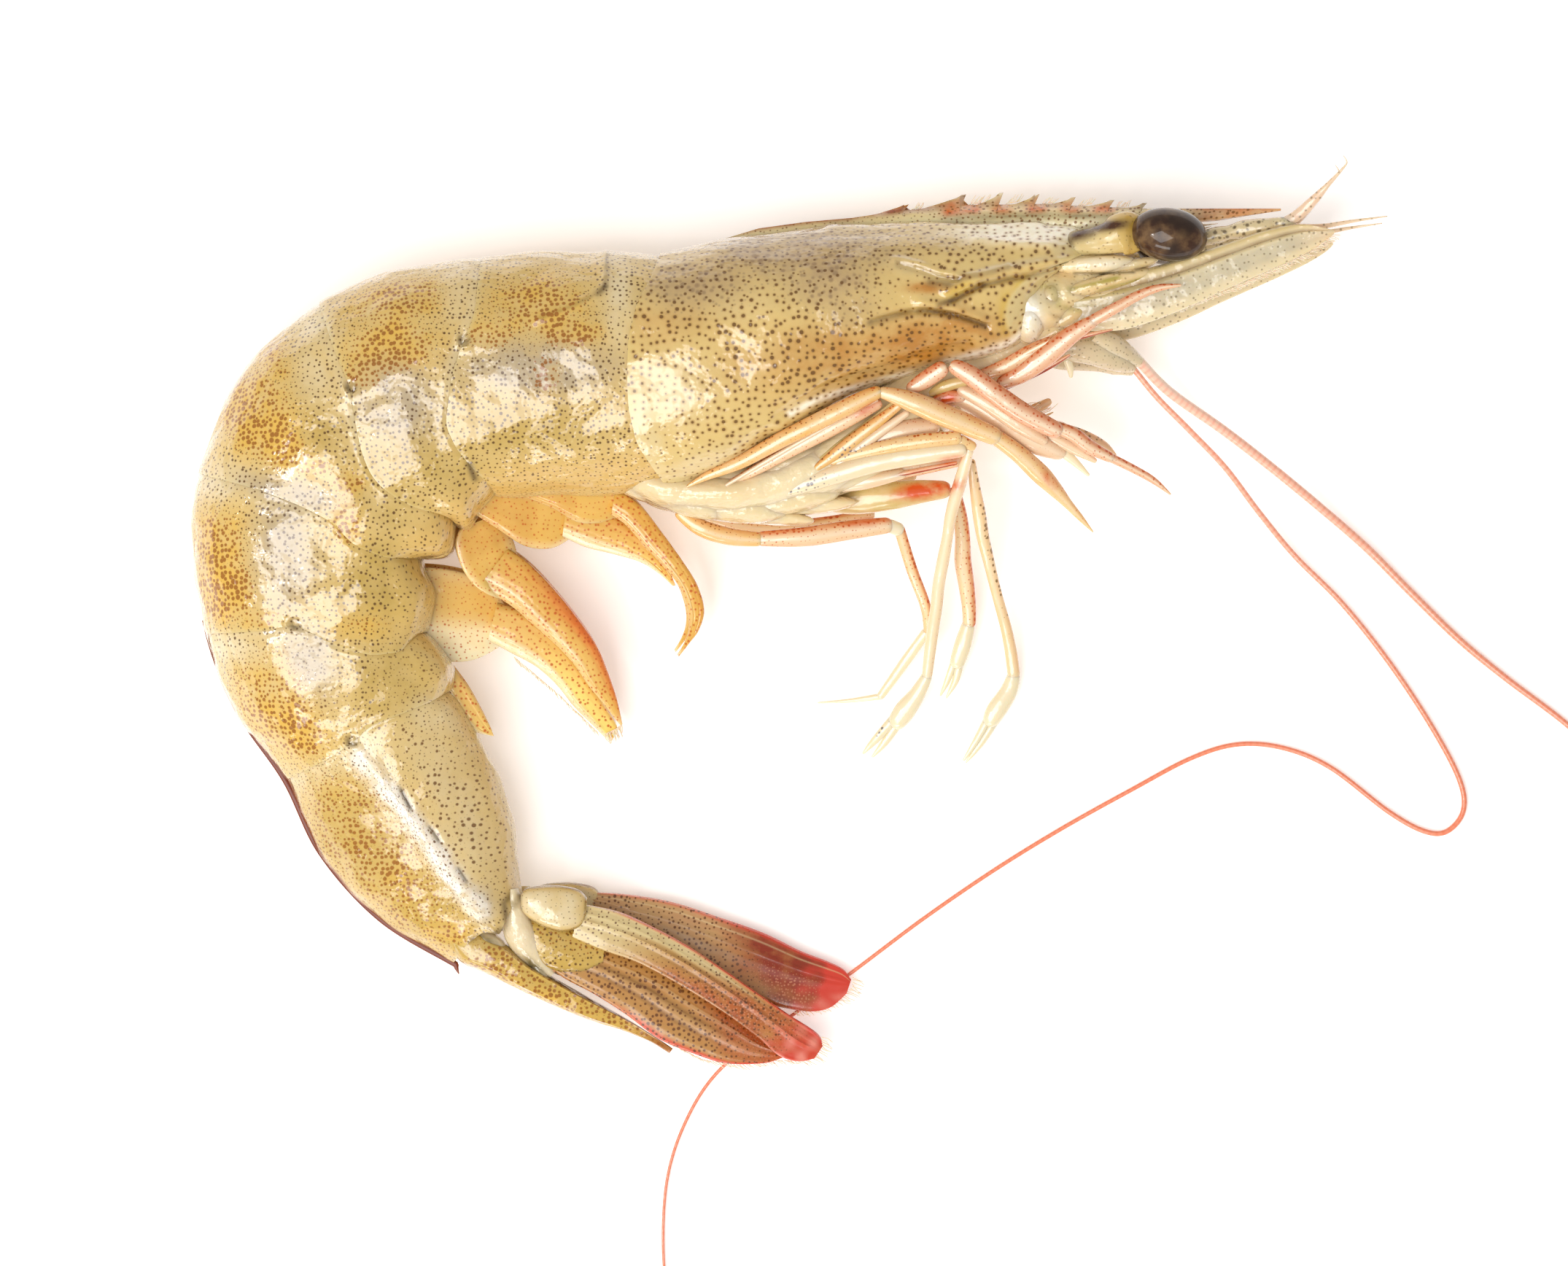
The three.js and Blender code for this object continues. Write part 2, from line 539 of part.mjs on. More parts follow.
// Legs one to three end in a small claw, whose tip is given; four and five end in a plain point.
const LEGS = {
  leg_1_right: {
    joints: [[19.0, -4.8, 9.0, 0.9], [24.6, -2.6, 10.0, 1.0], [33.2, -6.4, 7.6, 0.85]],
    tip: [36.3, -8.9, 6.6],
  },
  leg_2_right: {
    joints: [
      [1.8, -9.8, 13.2, 0.75], [17.8, -1.9, 14.0, 0.78], [28.0, -4.8, 11.6, 0.72], [33.2, -9.0, 8.6, 0.66],
    ],
    tip: [36.8, -13.7, 5.6],
  },
  leg_3_right: {
    joints: [
      [8.5, -10.2, 12.0, 0.95], [25.3, -6.3, 12.4, 0.95], [23.2, -20.4, 4.4, 0.62], [22.5, -26.0, 2.6, 0.55],
    ],
    tip: [17.4, -33.0, 0.8],
  },
  leg_4_right: {
    joints: [
      [4.6, -10.0, 13.0, 0.62], [19.4, -2.9, 12.4, 0.62], [20.4, -4.0, 12.4, 0.5], [15.4, -6.6, 12.5, 0.3],
    ],
  },
  leg_5_right: {
    joints: [
      [2.4, -13.0, 9.0, 0.7], [8.2, -14.1, 8.4, 0.8], [19.6, -13.1, 6.2, 0.7], [23.0, -20.4, 2.2, 0.6],
      [18.4, -27.6, 0.9, 0.42], [13.1, -28.3, 0.3, 0.08],
    ],
  },
  leg_1_left: {
    joints: [[19.6, -5.6, 5.2, 0.75], [25.2, -3.2, 5.4, 0.75], [34.6, -4.9, 4.4, 0.65]],
    tip: [38.9, -6.9, 3.4],
  },
  leg_2_left: {
    joints: [[11.0, -11.4, 5.4, 0.9], [24.6, -9.8, 5.2, 0.95], [26.4, -21.8, 1.6, 0.6]],
    tip: [24.0, -27.9, 0.7],
  },
  leg_3_left: {
    joints: [
      [9.0, -11.2, 8.2, 0.8], [25.9, -7.2, 8.6, 0.8], [28.6, -18.6, 3.0, 0.62], [30.3, -25.9, 1.4, 0.52],
    ],
    tip: [25.8, -33.3, 0.7],
  },
  leg_4_left: {
    joints: [
      [6.0, -11.0, 4.2, 0.6], [16.0, -9.6, 3.2, 0.6], [21.6, -8.6, 2.2, 0.45], [15.0, -7.4, 1.0, 0.08],
    ],
  },
  leg_5_left: {
    joints: [
      [2.0, -11.8, 4.8, 0.6], [9.0, -13.6, 3.6, 0.6], [18.0, -12.2, 2.0, 0.45], [12.0, -11.0, 0.8, 0.08],
    ],
  },
};
const CLAW = { palmShare: 0.42, spread: 0.36, finger: 0.28 };

// The claw: a palm that goes on from the leg, and two tapering fingers beside each other.
function claw([x, y, z, girth], to, grow) {
  const [root, tip] = [new THREE.Vector3(x, y, z), new THREE.Vector3(...to)];
  const palmEnd = root.clone().lerp(tip, CLAW.palmShare);
  const aside = new THREE.Vector3(root.y - tip.y, tip.x - root.x, 0).normalize();
  const palm = [
    [...root.toArray(), girth * 0.8, girth * 0.8],
    [...root.clone().lerp(palmEnd, 0.45).toArray(), girth * 1.15, girth],
    [...palmEnd.toArray(), girth * 0.95, girth * 0.8],
  ];
  const finger = (way) => {
    const start = root.clone().lerp(tip, CLAW.palmShare * 0.8).addScaledVector(aside, way * girth * 0.45);
    const middle = palmEnd.clone().lerp(tip, 0.4).addScaledVector(aside, way * CLAW.spread);
    const end = tip.clone().addScaledVector(aside, way * CLAW.spread * 0.7);
    return [
      [...start.toArray(), girth * 0.45, girth * 0.55],
      [...middle.toArray(), CLAW.finger, CLAW.finger],
      [...end.toArray(), 0.07, 0.07],
    ];
  };
  return [sweep(palm, 3, LIMB_SIDES, grow), ...[-1, 1].map((way) => sweep(finger(way), 3, 5, grow))];
}

const LEG_FINISH = { 1: "pink_limb", 2: "claw_leg", 3: "claw_leg", 4: "leg", 5: "leg" };
for (const [name, { joints, tip }] of Object.entries(LEGS)) {
  place(name, LEG_FINISH[name.split("_")[1]], (grow) => [
    limb(joints, grow),
    ...(tip ? claw(joints.at(-1), tip, grow) : []),
  ]);
}

// ---------------------------------------------------------------- swimmerets

// Each swimmeret is a fleshy base under the tail with a long soft blade hinged to its end.
const SWIMMERETS = [
  {
    base: [[-9.6, -8.2, 10.6, 1.5, 1.5], [-6.6, -9.8, 11.0, 1.5, 1.5], [-3.6, -11.0, 11.2, 1.1, 1.0]],
    blade: [
      [-4.0, -10.7, 11.2, 0.8, 0.7], [-1.4, -13.4, 10.6, 1.15, 0.6], [1.2, -16.9, 9.4, 1.1, 0.5],
      [2.75, -19.8, 8.2, 0.75, 0.45], [2.5, -22.2, 7.2, 0.5, 0.35], [1.1, -24.2, 6.4, 0.08, 0.08],
    ],
  },
  {
    base: [[-15.6, -10.0, 10.2, 1.7, 1.6], [-12.4, -12.4, 10.6, 2.2, 1.8], [-8.6, -12.8, 10.4, 1.3, 1.2]],
    blade: [
      [-8.8, -12.7, 10.2, 0.9, 0.7], [-5.4, -13.9, 9.6, 1.4, 0.55], [-2.4, -15.4, 9.0, 1.0, 0.45],
      [0.7, -17.1, 8.4, 0.1, 0.1],
    ],
  },
  {
    base: [[-19.2, -12.6, 10.0, 1.8, 1.8], [-15.6, -15.2, 10.4, 2.8, 2.0], [-12.8, -18.4, 10.2, 1.8, 1.4]],
    blade: [
      [-13.2, -18.0, 10.0, 1.5, 0.9], [-9.6, -20.5, 9.0, 1.85, 0.7], [-6.7, -24.2, 7.4, 1.45, 0.55],
      [-5.0, -27.4, 6.0, 0.8, 0.4], [-3.8, -29.7, 5.0, 0.12, 0.12],
    ],
  },
  {
    base: [[-21.6, -20.5, 9.4, 2.8, 2.0], [-18.0, -21.3, 9.6, 3.1, 2.0], [-14.6, -22.0, 8.6, 1.8, 1.3]],
    blade: [
      [-14.8, -21.8, 8.2, 1.2, 0.9], [-11.2, -23.8, 7.0, 1.9, 0.7], [-8.0, -27.0, 5.4, 1.75, 0.6],
      [-5.9, -29.6, 4.2, 1.1, 0.4], [-4.7, -31.4, 3.4, 0.12, 0.12],
    ],
  },
  {
    base: [[-20.6, -25.2, 8.2, 1.4, 1.3], [-18.6, -26.4, 8.2, 1.2, 1.0], [-17.2, -27.4, 7.8, 0.8, 0.7]],
    blade: [[-17.6, -27.0, 7.8, 0.7, 0.5], [-16.2, -29.2, 7.0, 0.7, 0.4], [-14.8, -31.0, 6.4, 0.1, 0.1]],
  },
];
// The far row lies below the near one, with broader bases, whose edges show.
function underneath(rows, broader) {
  const drop = 4.9;
  return rows.map(([x, y, z, w, h]) => [x - 0.3, y + 0.4, Math.max(z - drop, h), w * broader, h]);
}
for (const side of ["right", "left"]) {
  const put = (rows, broader) => (side === "left" ? underneath(rows, broader) : rows);
  SWIMMERETS.forEach(({ base, blade }, i) => {
    place(`swimmeret_${i + 1}_${side}`, "swimmeret", (grow) => [
      sweep(put(base, 1.3), 3, BLADE_SIDES, grow),
      sweep(put(blade, 0.92), 6, 6, grow),
    ]);
  });
}

export default shrimp;
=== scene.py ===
# %% [markdown]
# # A raw whiteleg shrimp, head and shell on
# The shrimp lies on its left side with its tail curled under. A thin see-through shell over pale flesh,
# thousands of pigment freckles and a film of water make its look. The solids that carry it are plain, so
# a finer skin of the same form replaces each of them.

# %% Load the frame
import bpy
import numpy as np
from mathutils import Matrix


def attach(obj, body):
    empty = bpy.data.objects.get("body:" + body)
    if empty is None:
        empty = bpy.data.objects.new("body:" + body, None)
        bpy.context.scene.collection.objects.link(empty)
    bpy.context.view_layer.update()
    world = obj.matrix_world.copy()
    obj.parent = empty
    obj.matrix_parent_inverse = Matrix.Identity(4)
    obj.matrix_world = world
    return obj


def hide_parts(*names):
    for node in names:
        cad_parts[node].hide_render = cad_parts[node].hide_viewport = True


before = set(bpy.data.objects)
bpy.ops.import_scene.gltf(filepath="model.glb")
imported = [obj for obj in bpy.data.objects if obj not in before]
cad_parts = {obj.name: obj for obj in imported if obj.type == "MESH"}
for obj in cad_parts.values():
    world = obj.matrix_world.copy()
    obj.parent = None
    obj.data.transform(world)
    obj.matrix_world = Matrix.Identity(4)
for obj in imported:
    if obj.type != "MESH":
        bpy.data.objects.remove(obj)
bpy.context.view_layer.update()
print("solids:", len(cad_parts))

# %% [markdown]
# ## Camera
# A long lens looks straight down, so nothing is foreshortened. Lengths are in millimetres and become
# metres where Blender takes them.

# %% Camera over the table
MM = 0.001
VIEW_CENTRE = (10.1875, -22.25)  # the middle of the view, mm
CAMERA_HEIGHT = 754.5  # mm above the table
camera_data = bpy.data.cameras.new("overhead")
camera_data.lens = 200
camera_data.sensor_width = 36
camera = bpy.data.objects.new("overhead", camera_data)
camera.location = (VIEW_CENTRE[0] * MM, VIEW_CENTRE[1] * MM, CAMERA_HEIGHT * MM)
bpy.context.collection.objects.link(camera)
bpy.context.scene.camera = camera
print("width in view, mm:", round(CAMERA_HEIGHT * camera_data.sensor_width / camera_data.lens, 1))

# %% [markdown]
# ## Colours and nodes
# A hex code names a screen colour, but light adds up in linear numbers, so one function turns it. Another
# adds a node with its settings and links. A value that is the same all over stays on the shader's own
# socket.


# %% Helpers for materials
def colour(code):
    """Linear RGBA from an sRGB hex code."""
    srgb = np.array([int(code[i : i + 2], 16) / 255 for i in (1, 3, 5)])
    linear = np.where(srgb <= 0.04045, srgb / 12.92, ((srgb + 0.055) / 1.055) ** 2.4)
    return (*linear.tolist(), 1.0)


def add(tree, kind, settings=None, links=None):
    """Adds a shader node with settings (sockets or properties) and links from other sockets."""
    made = tree.nodes.new("ShaderNode" + kind)
    for key, value in (settings or {}).items():
        if isinstance(key, int) or key in made.inputs:
            made.inputs[key].default_value = value
        else:
            setattr(made, key, value)
    for key, source in (links or {}).items():
        tree.links.new(source, made.inputs[key])
    return made


def new_material(name):
    """An empty node material and its tree."""
    material = bpy.data.materials.new(name)
    material.use_nodes = True
    material.node_tree.nodes.clear()
    return material, material.node_tree


print("amber in linear light:", [round(part, 3) for part in colour("#DAB04E")])

# %% [markdown]
# ## Light
# Wet shell shows what it faces, so the lamps are chosen for their reflections: a large soft box overhead
# for broad gleams, a small one for sharp glints and a low strip for the legs. A weak sky fills the
# shadows. The floor is matt white acrylic lit from below, which lights thin edges.


# %% Soft boxes, sky and light table
def soft_box(name, place, aim, size, watts):
    """A rectangular area light at place, turned towards aim; metres."""
    data = bpy.data.lights.new(name, "AREA")
    data.shape = "RECTANGLE"
    data.size, data.size_y = size
    data.energy = watts
    light = bpy.data.objects.new(name, data)
    light.location = place
    way = np.array(aim) - np.array(place)
    light.rotation_euler = (
        np.arctan2(np.hypot(way[0], way[1]), -way[2]),
        0,
        np.arctan2(way[1], way[0]) - np.pi / 2,
    )
    bpy.context.collection.objects.link(light)


SUBJECT = (0.0, -0.02, 0.008)
soft_box("soft_box_overhead", (-0.30, -0.27, 1.0), SUBJECT, (0.72, 0.78), 9.0)
soft_box("soft_box_left", (-0.62, -0.12, 0.86), SUBJECT, (0.10, 0.10), 0.9)
soft_box("soft_box_front", (-0.25, -0.95, 0.50), SUBJECT, (0.55, 0.22), 2.4)

world = bpy.data.worlds.new("pale sky")
world.use_nodes = True
world.node_tree.nodes["Background"].inputs["Color"].default_value = colour("#FFFCFA")
world.node_tree.nodes["Background"].inputs["Strength"].default_value = 0.42
bpy.context.scene.world = world
bpy.context.scene.view_settings.view_transform = "Standard"

HALF_CARD = 1.5  # metres
paper, tree = new_material("matt white acrylic")
glow = {
    "Base Color": colour("#F8F4F2"), "Roughness": 0.9, "Emission Color": colour("#FFF8F2"),
    "Emission Strength": 0.33,
}
surface = add(tree, "BsdfPrincipled", glow)
add(tree, "OutputMaterial", links={"Surface": surface.outputs[0]})
floor_mesh = bpy.data.meshes.new("card")
corners = [(x * HALF_CARD, y * HALF_CARD, 0) for x, y in ((-1, -1), (1, -1), (1, 1), (-1, 1))]
floor_mesh.from_pydata(corners, [], [(0, 1, 2, 3)])
floor_mesh.materials.append(paper)
floor = bpy.data.objects.new("card", floor_mesh)
bpy.context.collection.objects.link(floor)
print("lamps:", len(bpy.data.lights), "table, m:", 2 * HALF_CARD)

# %% [markdown]
# ## Curves and skins
# A few rows of numbers with a smooth curve through them give a body, and every piece is a closed skin
# over rings of such points. Each point also keeps two lengths in millimetres, as if the skin were rolled
# out flat, so freckles drawn in them stay round. Marks, 0 to 1, say where each stain lies.


# %% Curves and skins
def clamp(value):
    """A number kept between 0 and 1."""
    return np.clip(value, 0, 1)


def row_at(rows, t):
    """Rows of numbers at t, 0 to 1, on the smooth curve through the given rows."""
    rows = np.asarray(rows, float)
    last = len(rows) - 1
    place = clamp(t) * last
    i = np.minimum(place.astype(int), last - 1)
    f = (place - i)[..., None]
    a, b, c, d = (rows[np.clip(i + k, 0, last)] for k in (-1, 0, 1, 2))
    return b + 0.5 * f * (c - a + f * (2 * a - 5 * b + 4 * c - d + f * (3 * (b - c) + d - a)))


def ramp(value, low, high):
    """A smooth step from 0 at low to 1 at high."""
    f = clamp((value - low) / (high - low))
    return f * f * (3 - 2 * f)


def tube_grain(rings):
    """Lengths along and around a slim tube."""
    n = len(rings)
    steps = np.linalg.norm(np.diff(rings.mean(1), axis=0), axis=1)
    along = np.concatenate([[0], np.cumsum(steps)])[:, None] + 0 * rings[..., 0]
    around = np.linalg.norm(np.roll(rings, -1, axis=1) - rings, axis=2)
    forth = np.cumsum(around, axis=1) - around
    back = np.cumsum(around[:, ::-1], axis=1)[:, ::-1]
    return along, np.minimum(forth, back)


def skin(rings, marks, grain=None):
    """A closed skin over rings (n, sides, 3), with a fan over each end."""
    n, sides = rings.shape[:2]
    u, v = tube_grain(rings) if grain is None else grain
    marks = {**marks, "u_mm": u, "v_mm": v}
    i = np.arange(n - 1)[:, None] * sides
    j = np.arange(sides)[None, :]
    k = (j + 1) % sides
    faces = np.stack([i + j, i + k, i + sides + k, i + sides + j], -1).reshape(-1, 4).tolist()
    ends = [rings[0].mean(0), rings[-1].mean(0)]
    j, k = j[0], k[0]
    faces += [(b, a, n * sides) for a, b in zip(j.tolist(), k.tolist())]
    base = (n - 1) * sides
    faces += [(base + a, base + b, n * sides + 1) for a, b in zip(j.tolist(), k.tolist())]
    flat = {}
    for key, values in marks.items():
        values = np.broadcast_to(values, (n, sides))
        flat[key] = np.concatenate([values.ravel(), [values[0].mean(), values[-1].mean()]])
    return np.vstack([rings.reshape(-1, 3), ends]), faces, flat


print("soft step:", ramp(0.25, 0, 1))

# %% [markdown]
# ## Pieces
# A limb is several skins joined into one mesh. A piece rides on the root body and stands for the solids it
# replaces. Each has its own patch of grain, so none repeats another.


# %% Skins to a piece
def together(*skins):
    """Several skins as one."""
    names = sorted({key for s in skins for key in s[2]})
    faces, first = [], 0
    for points, own, _ in skins:
        faces += [tuple(i + first for i in face) for face in own]
        first += len(points)
    marks = {key: np.concatenate([s[2].get(key, np.zeros(len(s[0]))) for s in skins]) for key in names}
    return np.vstack([s[0] for s in skins]), faces, marks


def shifted(made, by):
    """A copy of a skin, moved by (x, y, z) mm."""
    return made[0] + np.array(by, float), made[1], made[2]


GRAIN_STEP = 150.0  # mm between the patches of grain of two pieces
SHARP_EDGE = np.radians(48)
piece_count = 0


def piece(name, made, material, slot, *nodes):
    """Adds a skin that rides on the root body and stands for the given solids."""
    global piece_count
    points, faces, marks = made
    points = points.copy()
    points[:, 2] = np.maximum(points[:, 2], 0)
    mesh = bpy.data.meshes.new(name)
    mesh.from_pydata((points * MM).tolist(), [], faces)
    piece_count += 1
    grain = np.stack([marks["u_mm"], marks["v_mm"] + GRAIN_STEP * piece_count, points[:, 2]], -1)
    layer = mesh.attributes.new("grain", "FLOAT_VECTOR", "POINT")
    layer.data.foreach_set("vector", grain.astype(np.float32).ravel())
    for key, values in marks.items():
        if key.endswith("_mm"):
            continue
        layer = mesh.attributes.new(key, "FLOAT", "POINT")
        layer.data.foreach_set("value", values.astype(np.float32))
    mesh.polygons.foreach_set("use_smooth", [True] * len(mesh.polygons))
    mesh.set_sharp_from_angle(angle=SHARP_EDGE)
    mesh.materials.append(material)
    made_object = bpy.data.objects.new(name, mesh)
    bpy.context.collection.objects.link(made_object)
    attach(made_object, "root")
    if nodes:
        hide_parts(*nodes)
    print(f"{name}: {len(points)} points")
    return made_object


# %% [markdown]
# ## Wet chitin: stains and freckles
# A shrimp's shell is a clear, slightly yellow sheet of chitin about 0.2 mm thick. Its broad tints are
# pigment below it with frayed borders, so a cloud pattern pushes each mark up and down. Its strong colour
# sits in round pigment cells of 0.1 to 0.4 mm, so Voronoi cells at their spacing hold one dot each, sized
# by a random number and a mark.


# %% Stains and freckles over a ground colour
def stained(tree, shade, stains, cloud):
    """Lays stains over a colour: (mark, hex, how ragged)."""
    for mark, code, ragged in stains:
        mask = add(tree, "Attribute", {"attribute_name": mark}).outputs["Fac"]
        rough = add(tree, "MapRange", {1: 0.3, 2: 0.7, 3: -ragged, 4: ragged}, {0: cloud}).outputs[0]
        push = {"operation": "MULTIPLY_ADD", "use_clamp": True}
        edge = add(tree, "Math", push, {0: rough, 1: mask, 2: mask}).outputs[0]
        over = {"data_type": "RGBA", 7: colour(code)}
        shade = add(tree, "Mix", over, {0: edge, 6: shade}).outputs[2]
    return shade


def freckled(tree, shade, dots, grain, cloud):
    """Lays dots over a colour: (spacing mm, radius mm, blur mm, hex, strength, size mark)."""
    crowd = add(tree, "MapRange", {1: 0.32, 2: 0.68, 3: 0.62, 4: 1.25}, {0: cloud}).outputs[0]
    times = {"operation": "MULTIPLY"}
    for spacing, radius, blur, code, strength, mark in dots:
        pattern = {"voronoi_dimensions": "2D", "Scale": 1 / spacing, "Randomness": 0.76}
        cells = add(tree, "TexVoronoi", pattern, {"Vector": grain})
        away = add(tree, "Math", {**times, 1: spacing}, {0: cells.outputs["Distance"]}).outputs[0]
        own_size = add(tree, "MapRange", {3: 0.55, 4: 1.2}, {0: cells.outputs["Color"]}).outputs[0]
        wanted = add(tree, "Attribute", {"attribute_name": mark}).outputs["Fac"]
        size = add(tree, "Math", times, {0: wanted, 1: crowd}).outputs[0]
        scaled = add(tree, "Math", times, {0: own_size, 1: size}).outputs[0]
        reach = add(tree, "Math", {**times, 1: radius}, {0: scaled}).outputs[0]
        inside = add(tree, "Math", {"operation": "SUBTRACT"}, {0: reach, 1: away}).outputs[0]
        edge = {"interpolation_type": "SMOOTHSTEP", 1: -blur, 2: blur, 3: 0.0, 4: strength}
        cover = add(tree, "MapRange", edge, {0: inside}).outputs[0]
        there = add(tree, "Math", {**times, 1: 6.0, "use_clamp": True}, {0: size}).outputs[0]
        amount = add(tree, "Math", times, {0: cover, 1: there}).outputs[0]
        over = {"data_type": "RGBA", 7: colour(code)}
        shade = add(tree, "Mix", over, {0: amount, 6: shade}).outputs[2]
    return shade


# %% [markdown]
# ## Wet chitin: the whole recipe
# Chitin has an index of refraction of about 1.56. Light goes about a millimetre into the flesh behind it,
# red furthest, which warms thin edges. The water is a clear coat, index about 1.38. It follows the
# dimples closely and the shell only a third as much, for torn white gleams over smooth colour.


# %% The recipe for every shell and skin
CLOUD_MM = 2.2  # lumps that fray the stains
HAZE_MM = 7.0  # slow drift between the two ground colours
WARM_DEPTH = (1.0, 0.75, 0.4)  # how far red, green and blue go, as shares of the depth


def chitin(name, base, stains, dots, gloss=0.16, soft_share=0.3, depth_mm=1.0, dimple_mm=2.4,
           dimple=0.32, film=1.0):
    """Two ground colours, stains, freckles, light below, water on top."""
    material, tree = new_material(name)
    grain = add(tree, "Attribute", {"attribute_name": "grain"}).outputs["Vector"]
    lumps = {"Scale": 1 / CLOUD_MM, "Detail": 4.0, "Roughness": 0.6}
    cloud = add(tree, "TexNoise", lumps, {"Vector": grain}).outputs["Fac"]
    haze = add(tree, "TexNoise", {"Scale": 1 / HAZE_MM, "Detail": 2.0}, {"Vector": grain}).outputs["Fac"]
    tint = add(tree, "MapRange", {1: 0.35, 2: 0.65, 4: 0.5}, {0: haze}).outputs[0]
    ground = {"data_type": "RGBA", 6: colour(base[0]), 7: colour(base[1])}
    shade = add(tree, "Mix", ground, {0: tint}).outputs[2]
    shade = stained(tree, shade, stains, cloud)
    shade = freckled(tree, shade, dots, grain, cloud)
    ripple = {"Scale": 1 / dimple_mm, "Detail": 3.0, "Roughness": 0.42}
    pits = add(tree, "TexNoise", ripple, {"Vector": grain}).outputs["Fac"]
    wet = add(tree, "Bump", {"Strength": dimple, "Distance": dimple_mm * MM}, {"Height": pits})
    soft = add(tree, "Bump", {"Strength": dimple / 3, "Distance": dimple_mm * MM}, {"Height": pits})
    body = {
        "Roughness": gloss, "IOR": 1.56, "Coat Weight": film, "Coat Roughness": 0.07, "Coat IOR": 1.38,
        "Subsurface Weight": soft_share, "Subsurface Scale": depth_mm * MM,
        "Subsurface Radius": WARM_DEPTH,
    }
    fed = {"Base Color": shade, "Normal": soft.outputs[0], "Coat Normal": wet.outputs[0]}
    shell = add(tree, "BsdfPrincipled", body, fed)
    add(tree, "OutputMaterial", links={"Surface": shell.outputs[0]})
    print(f"{name}: {len(tree.nodes)} nodes")
    return material


# %% [markdown]
# ## The trunk and its plates
# Carapace and rings are one long form, given as stations from back line to belly line. A plate that is
# cut from it curls by itself. Each ends in a wavy edge and laps over the one behind it.

# %% Stations: back x, y, belly x, y, middle height, half width
ABDOMEN = [
    [4, 10.1, 3, -9.2, 8.3, 8.1], [-1.5, 10.2, -2.5, -9.8, 8.3, 8.15], [-9, 10.4, -8.6, -10, 8.3, 8.2],
    [-15.7, 10.1, -15, -11.2, 8.3, 8.3], [-22.8, 8.8, -17.2, -13, 8.2, 8.2],
    [-29.4, 6.3, -18.6, -14.6, 8.1, 8.1], [-35.9, 0.4, -20.4, -16.4, 7.9, 7.9],
    [-40.1, -8.4, -20.5, -18.2, 7.6, 7.6], [-40.4, -15.2, -20.2, -21.2, 7.2, 7.2],
    [-39.5, -22.2, -19.4, -24.3, 6.8, 6.8], [-36.9, -28.8, -17.9, -27.4, 6.3, 6.3],
    [-32.7, -34.9, -16.4, -30.8, 5.8, 5.7], [-29.6, -41.2, -14.3, -35.4, 5.3, 5.1],
    [-24.6, -46.8, -12.9, -40, 4.8, 4.6], [-18.4, -50.6, -12.2, -44.2, 4.6, 3.9],
    [-15.4, -52.2, -10.6, -46.4, 4.6, 3.4],
]
HEAD_SHELL = [
    [-6, 10, -5.5, -10.2, 8.3, 8.2], [0, 10.5, 0.4, -10, 8.3, 8.7], [5, 11.5, 4.4, -9, 8.3, 8.8],
    [10.5, 12.2, 9.6, -6, 8.3, 8.7], [16.5, 12.7, 15.8, -2, 8.3, 8.1], [22.5, 12.8, 22.4, 0.5, 8.3, 7.2],
    [27.5, 12.9, 27.6, 1.4, 8.3, 6.3], [31.5, 12.9, 31.5, 3.2, 8.3, 5.2], [36, 12.9, 36, 6.5, 8.3, 3.6],
]

# Edges across the flank, from the back to the belly, as x, y in mm.
EDGE_0 = [(3, 9.8), (2.5, 0), (2, -9)]
EDGE_1 = [
    (-15.7, 9.9), (-15.9, 6.9), (-16.1, 4.8), (-17, 2.5), (-17.9, -0.2), (-18.2, -2.2), (-18.5, -4.8),
    (-17.6, -6.7), (-16.3, -8.3), (-15.1, -9.6), (-14.4, -10.9),
]
EDGE_2 = [
    (-29.5, 5.8), (-28.8, 3.9), (-28, 1.8), (-26.6, -1.4), (-26.2, -4.2), (-25.6, -7.1), (-24.7, -9.1),
    (-23.3, -10.5), (-21.3, -11.7), (-19.4, -12.2), (-17.9, -12.9),
]
EDGE_3 = [
    (-40.2, -8.5), (-36.8, -9.4), (-33.6, -10.4), (-30.6, -11.6), (-28.1, -12.9), (-26.2, -14.9),
    (-23.7, -15.9), (-21.4, -16.3), (-20, -16.2),
]
EDGE_4 = [
    (-39.3, -22.3), (-35.8, -22.2), (-33.7, -22), (-31.5, -21.5), (-29.7, -22.4), (-27.7, -23.5),
    (-24.7, -24.2), (-22.4, -23.9), (-20.4, -22.2),
]
EDGE_5 = [
    (-32.5, -34.8), (-30.9, -34), (-28.8, -32.9), (-26.7, -31.5), (-24.8, -30.2), (-21.8, -29),
    (-19.4, -28), (-17.6, -27),
]
EDGE_6 = [
    (-18.2, -50.6), (-17.5, -49.4), (-16, -48.3), (-13.9, -47.8), (-13.6, -46.5), (-13.7, -45.2),
    (-12.8, -44.4), (-12, -44.1),
]
HEAD_REAR = [
    (-0.3, 10.4), (-1.2, 7.8), (-2.3, 5.7), (-3, 2.7), (-3.1, -0.2), (-3, -3.2), (-2.3, -6.2),
    (-1.1, -8.1), (0.2, -9.8),
]
HEAD_FRONT = [
    (34.8, 12.6), (33.1, 10.9), (34.2, 9.5), (32.3, 8.7), (30.8, 7.7), (29.7, 6.4), (29.2, 4.8),
    (29.6, 3.7), (30.5, 2.9),
]
EDGES = [EDGE_0, EDGE_1, EDGE_2, EDGE_3, EDGE_4, EDGE_5, EDGE_6]
print("rings:", len(EDGES) - 1)

# %% [markdown]
# ## Sections, rolled out
# Cut across, the trunk is a rounded box, which a power on sine and cosine makes. The last rings have a
# ridge along the flank instead. Each section is laid down flat, and its points keep that place as grain.


# %% Sections, grain and edges of the trunk
TRUNK_ROUNDS = (0.96, 0.78)  # back side and belly side; under 1 is boxier than an oval
ROOF_ROUNDS = (1.34, 1.12)  # a ridge along the flank with flat slopes beside it


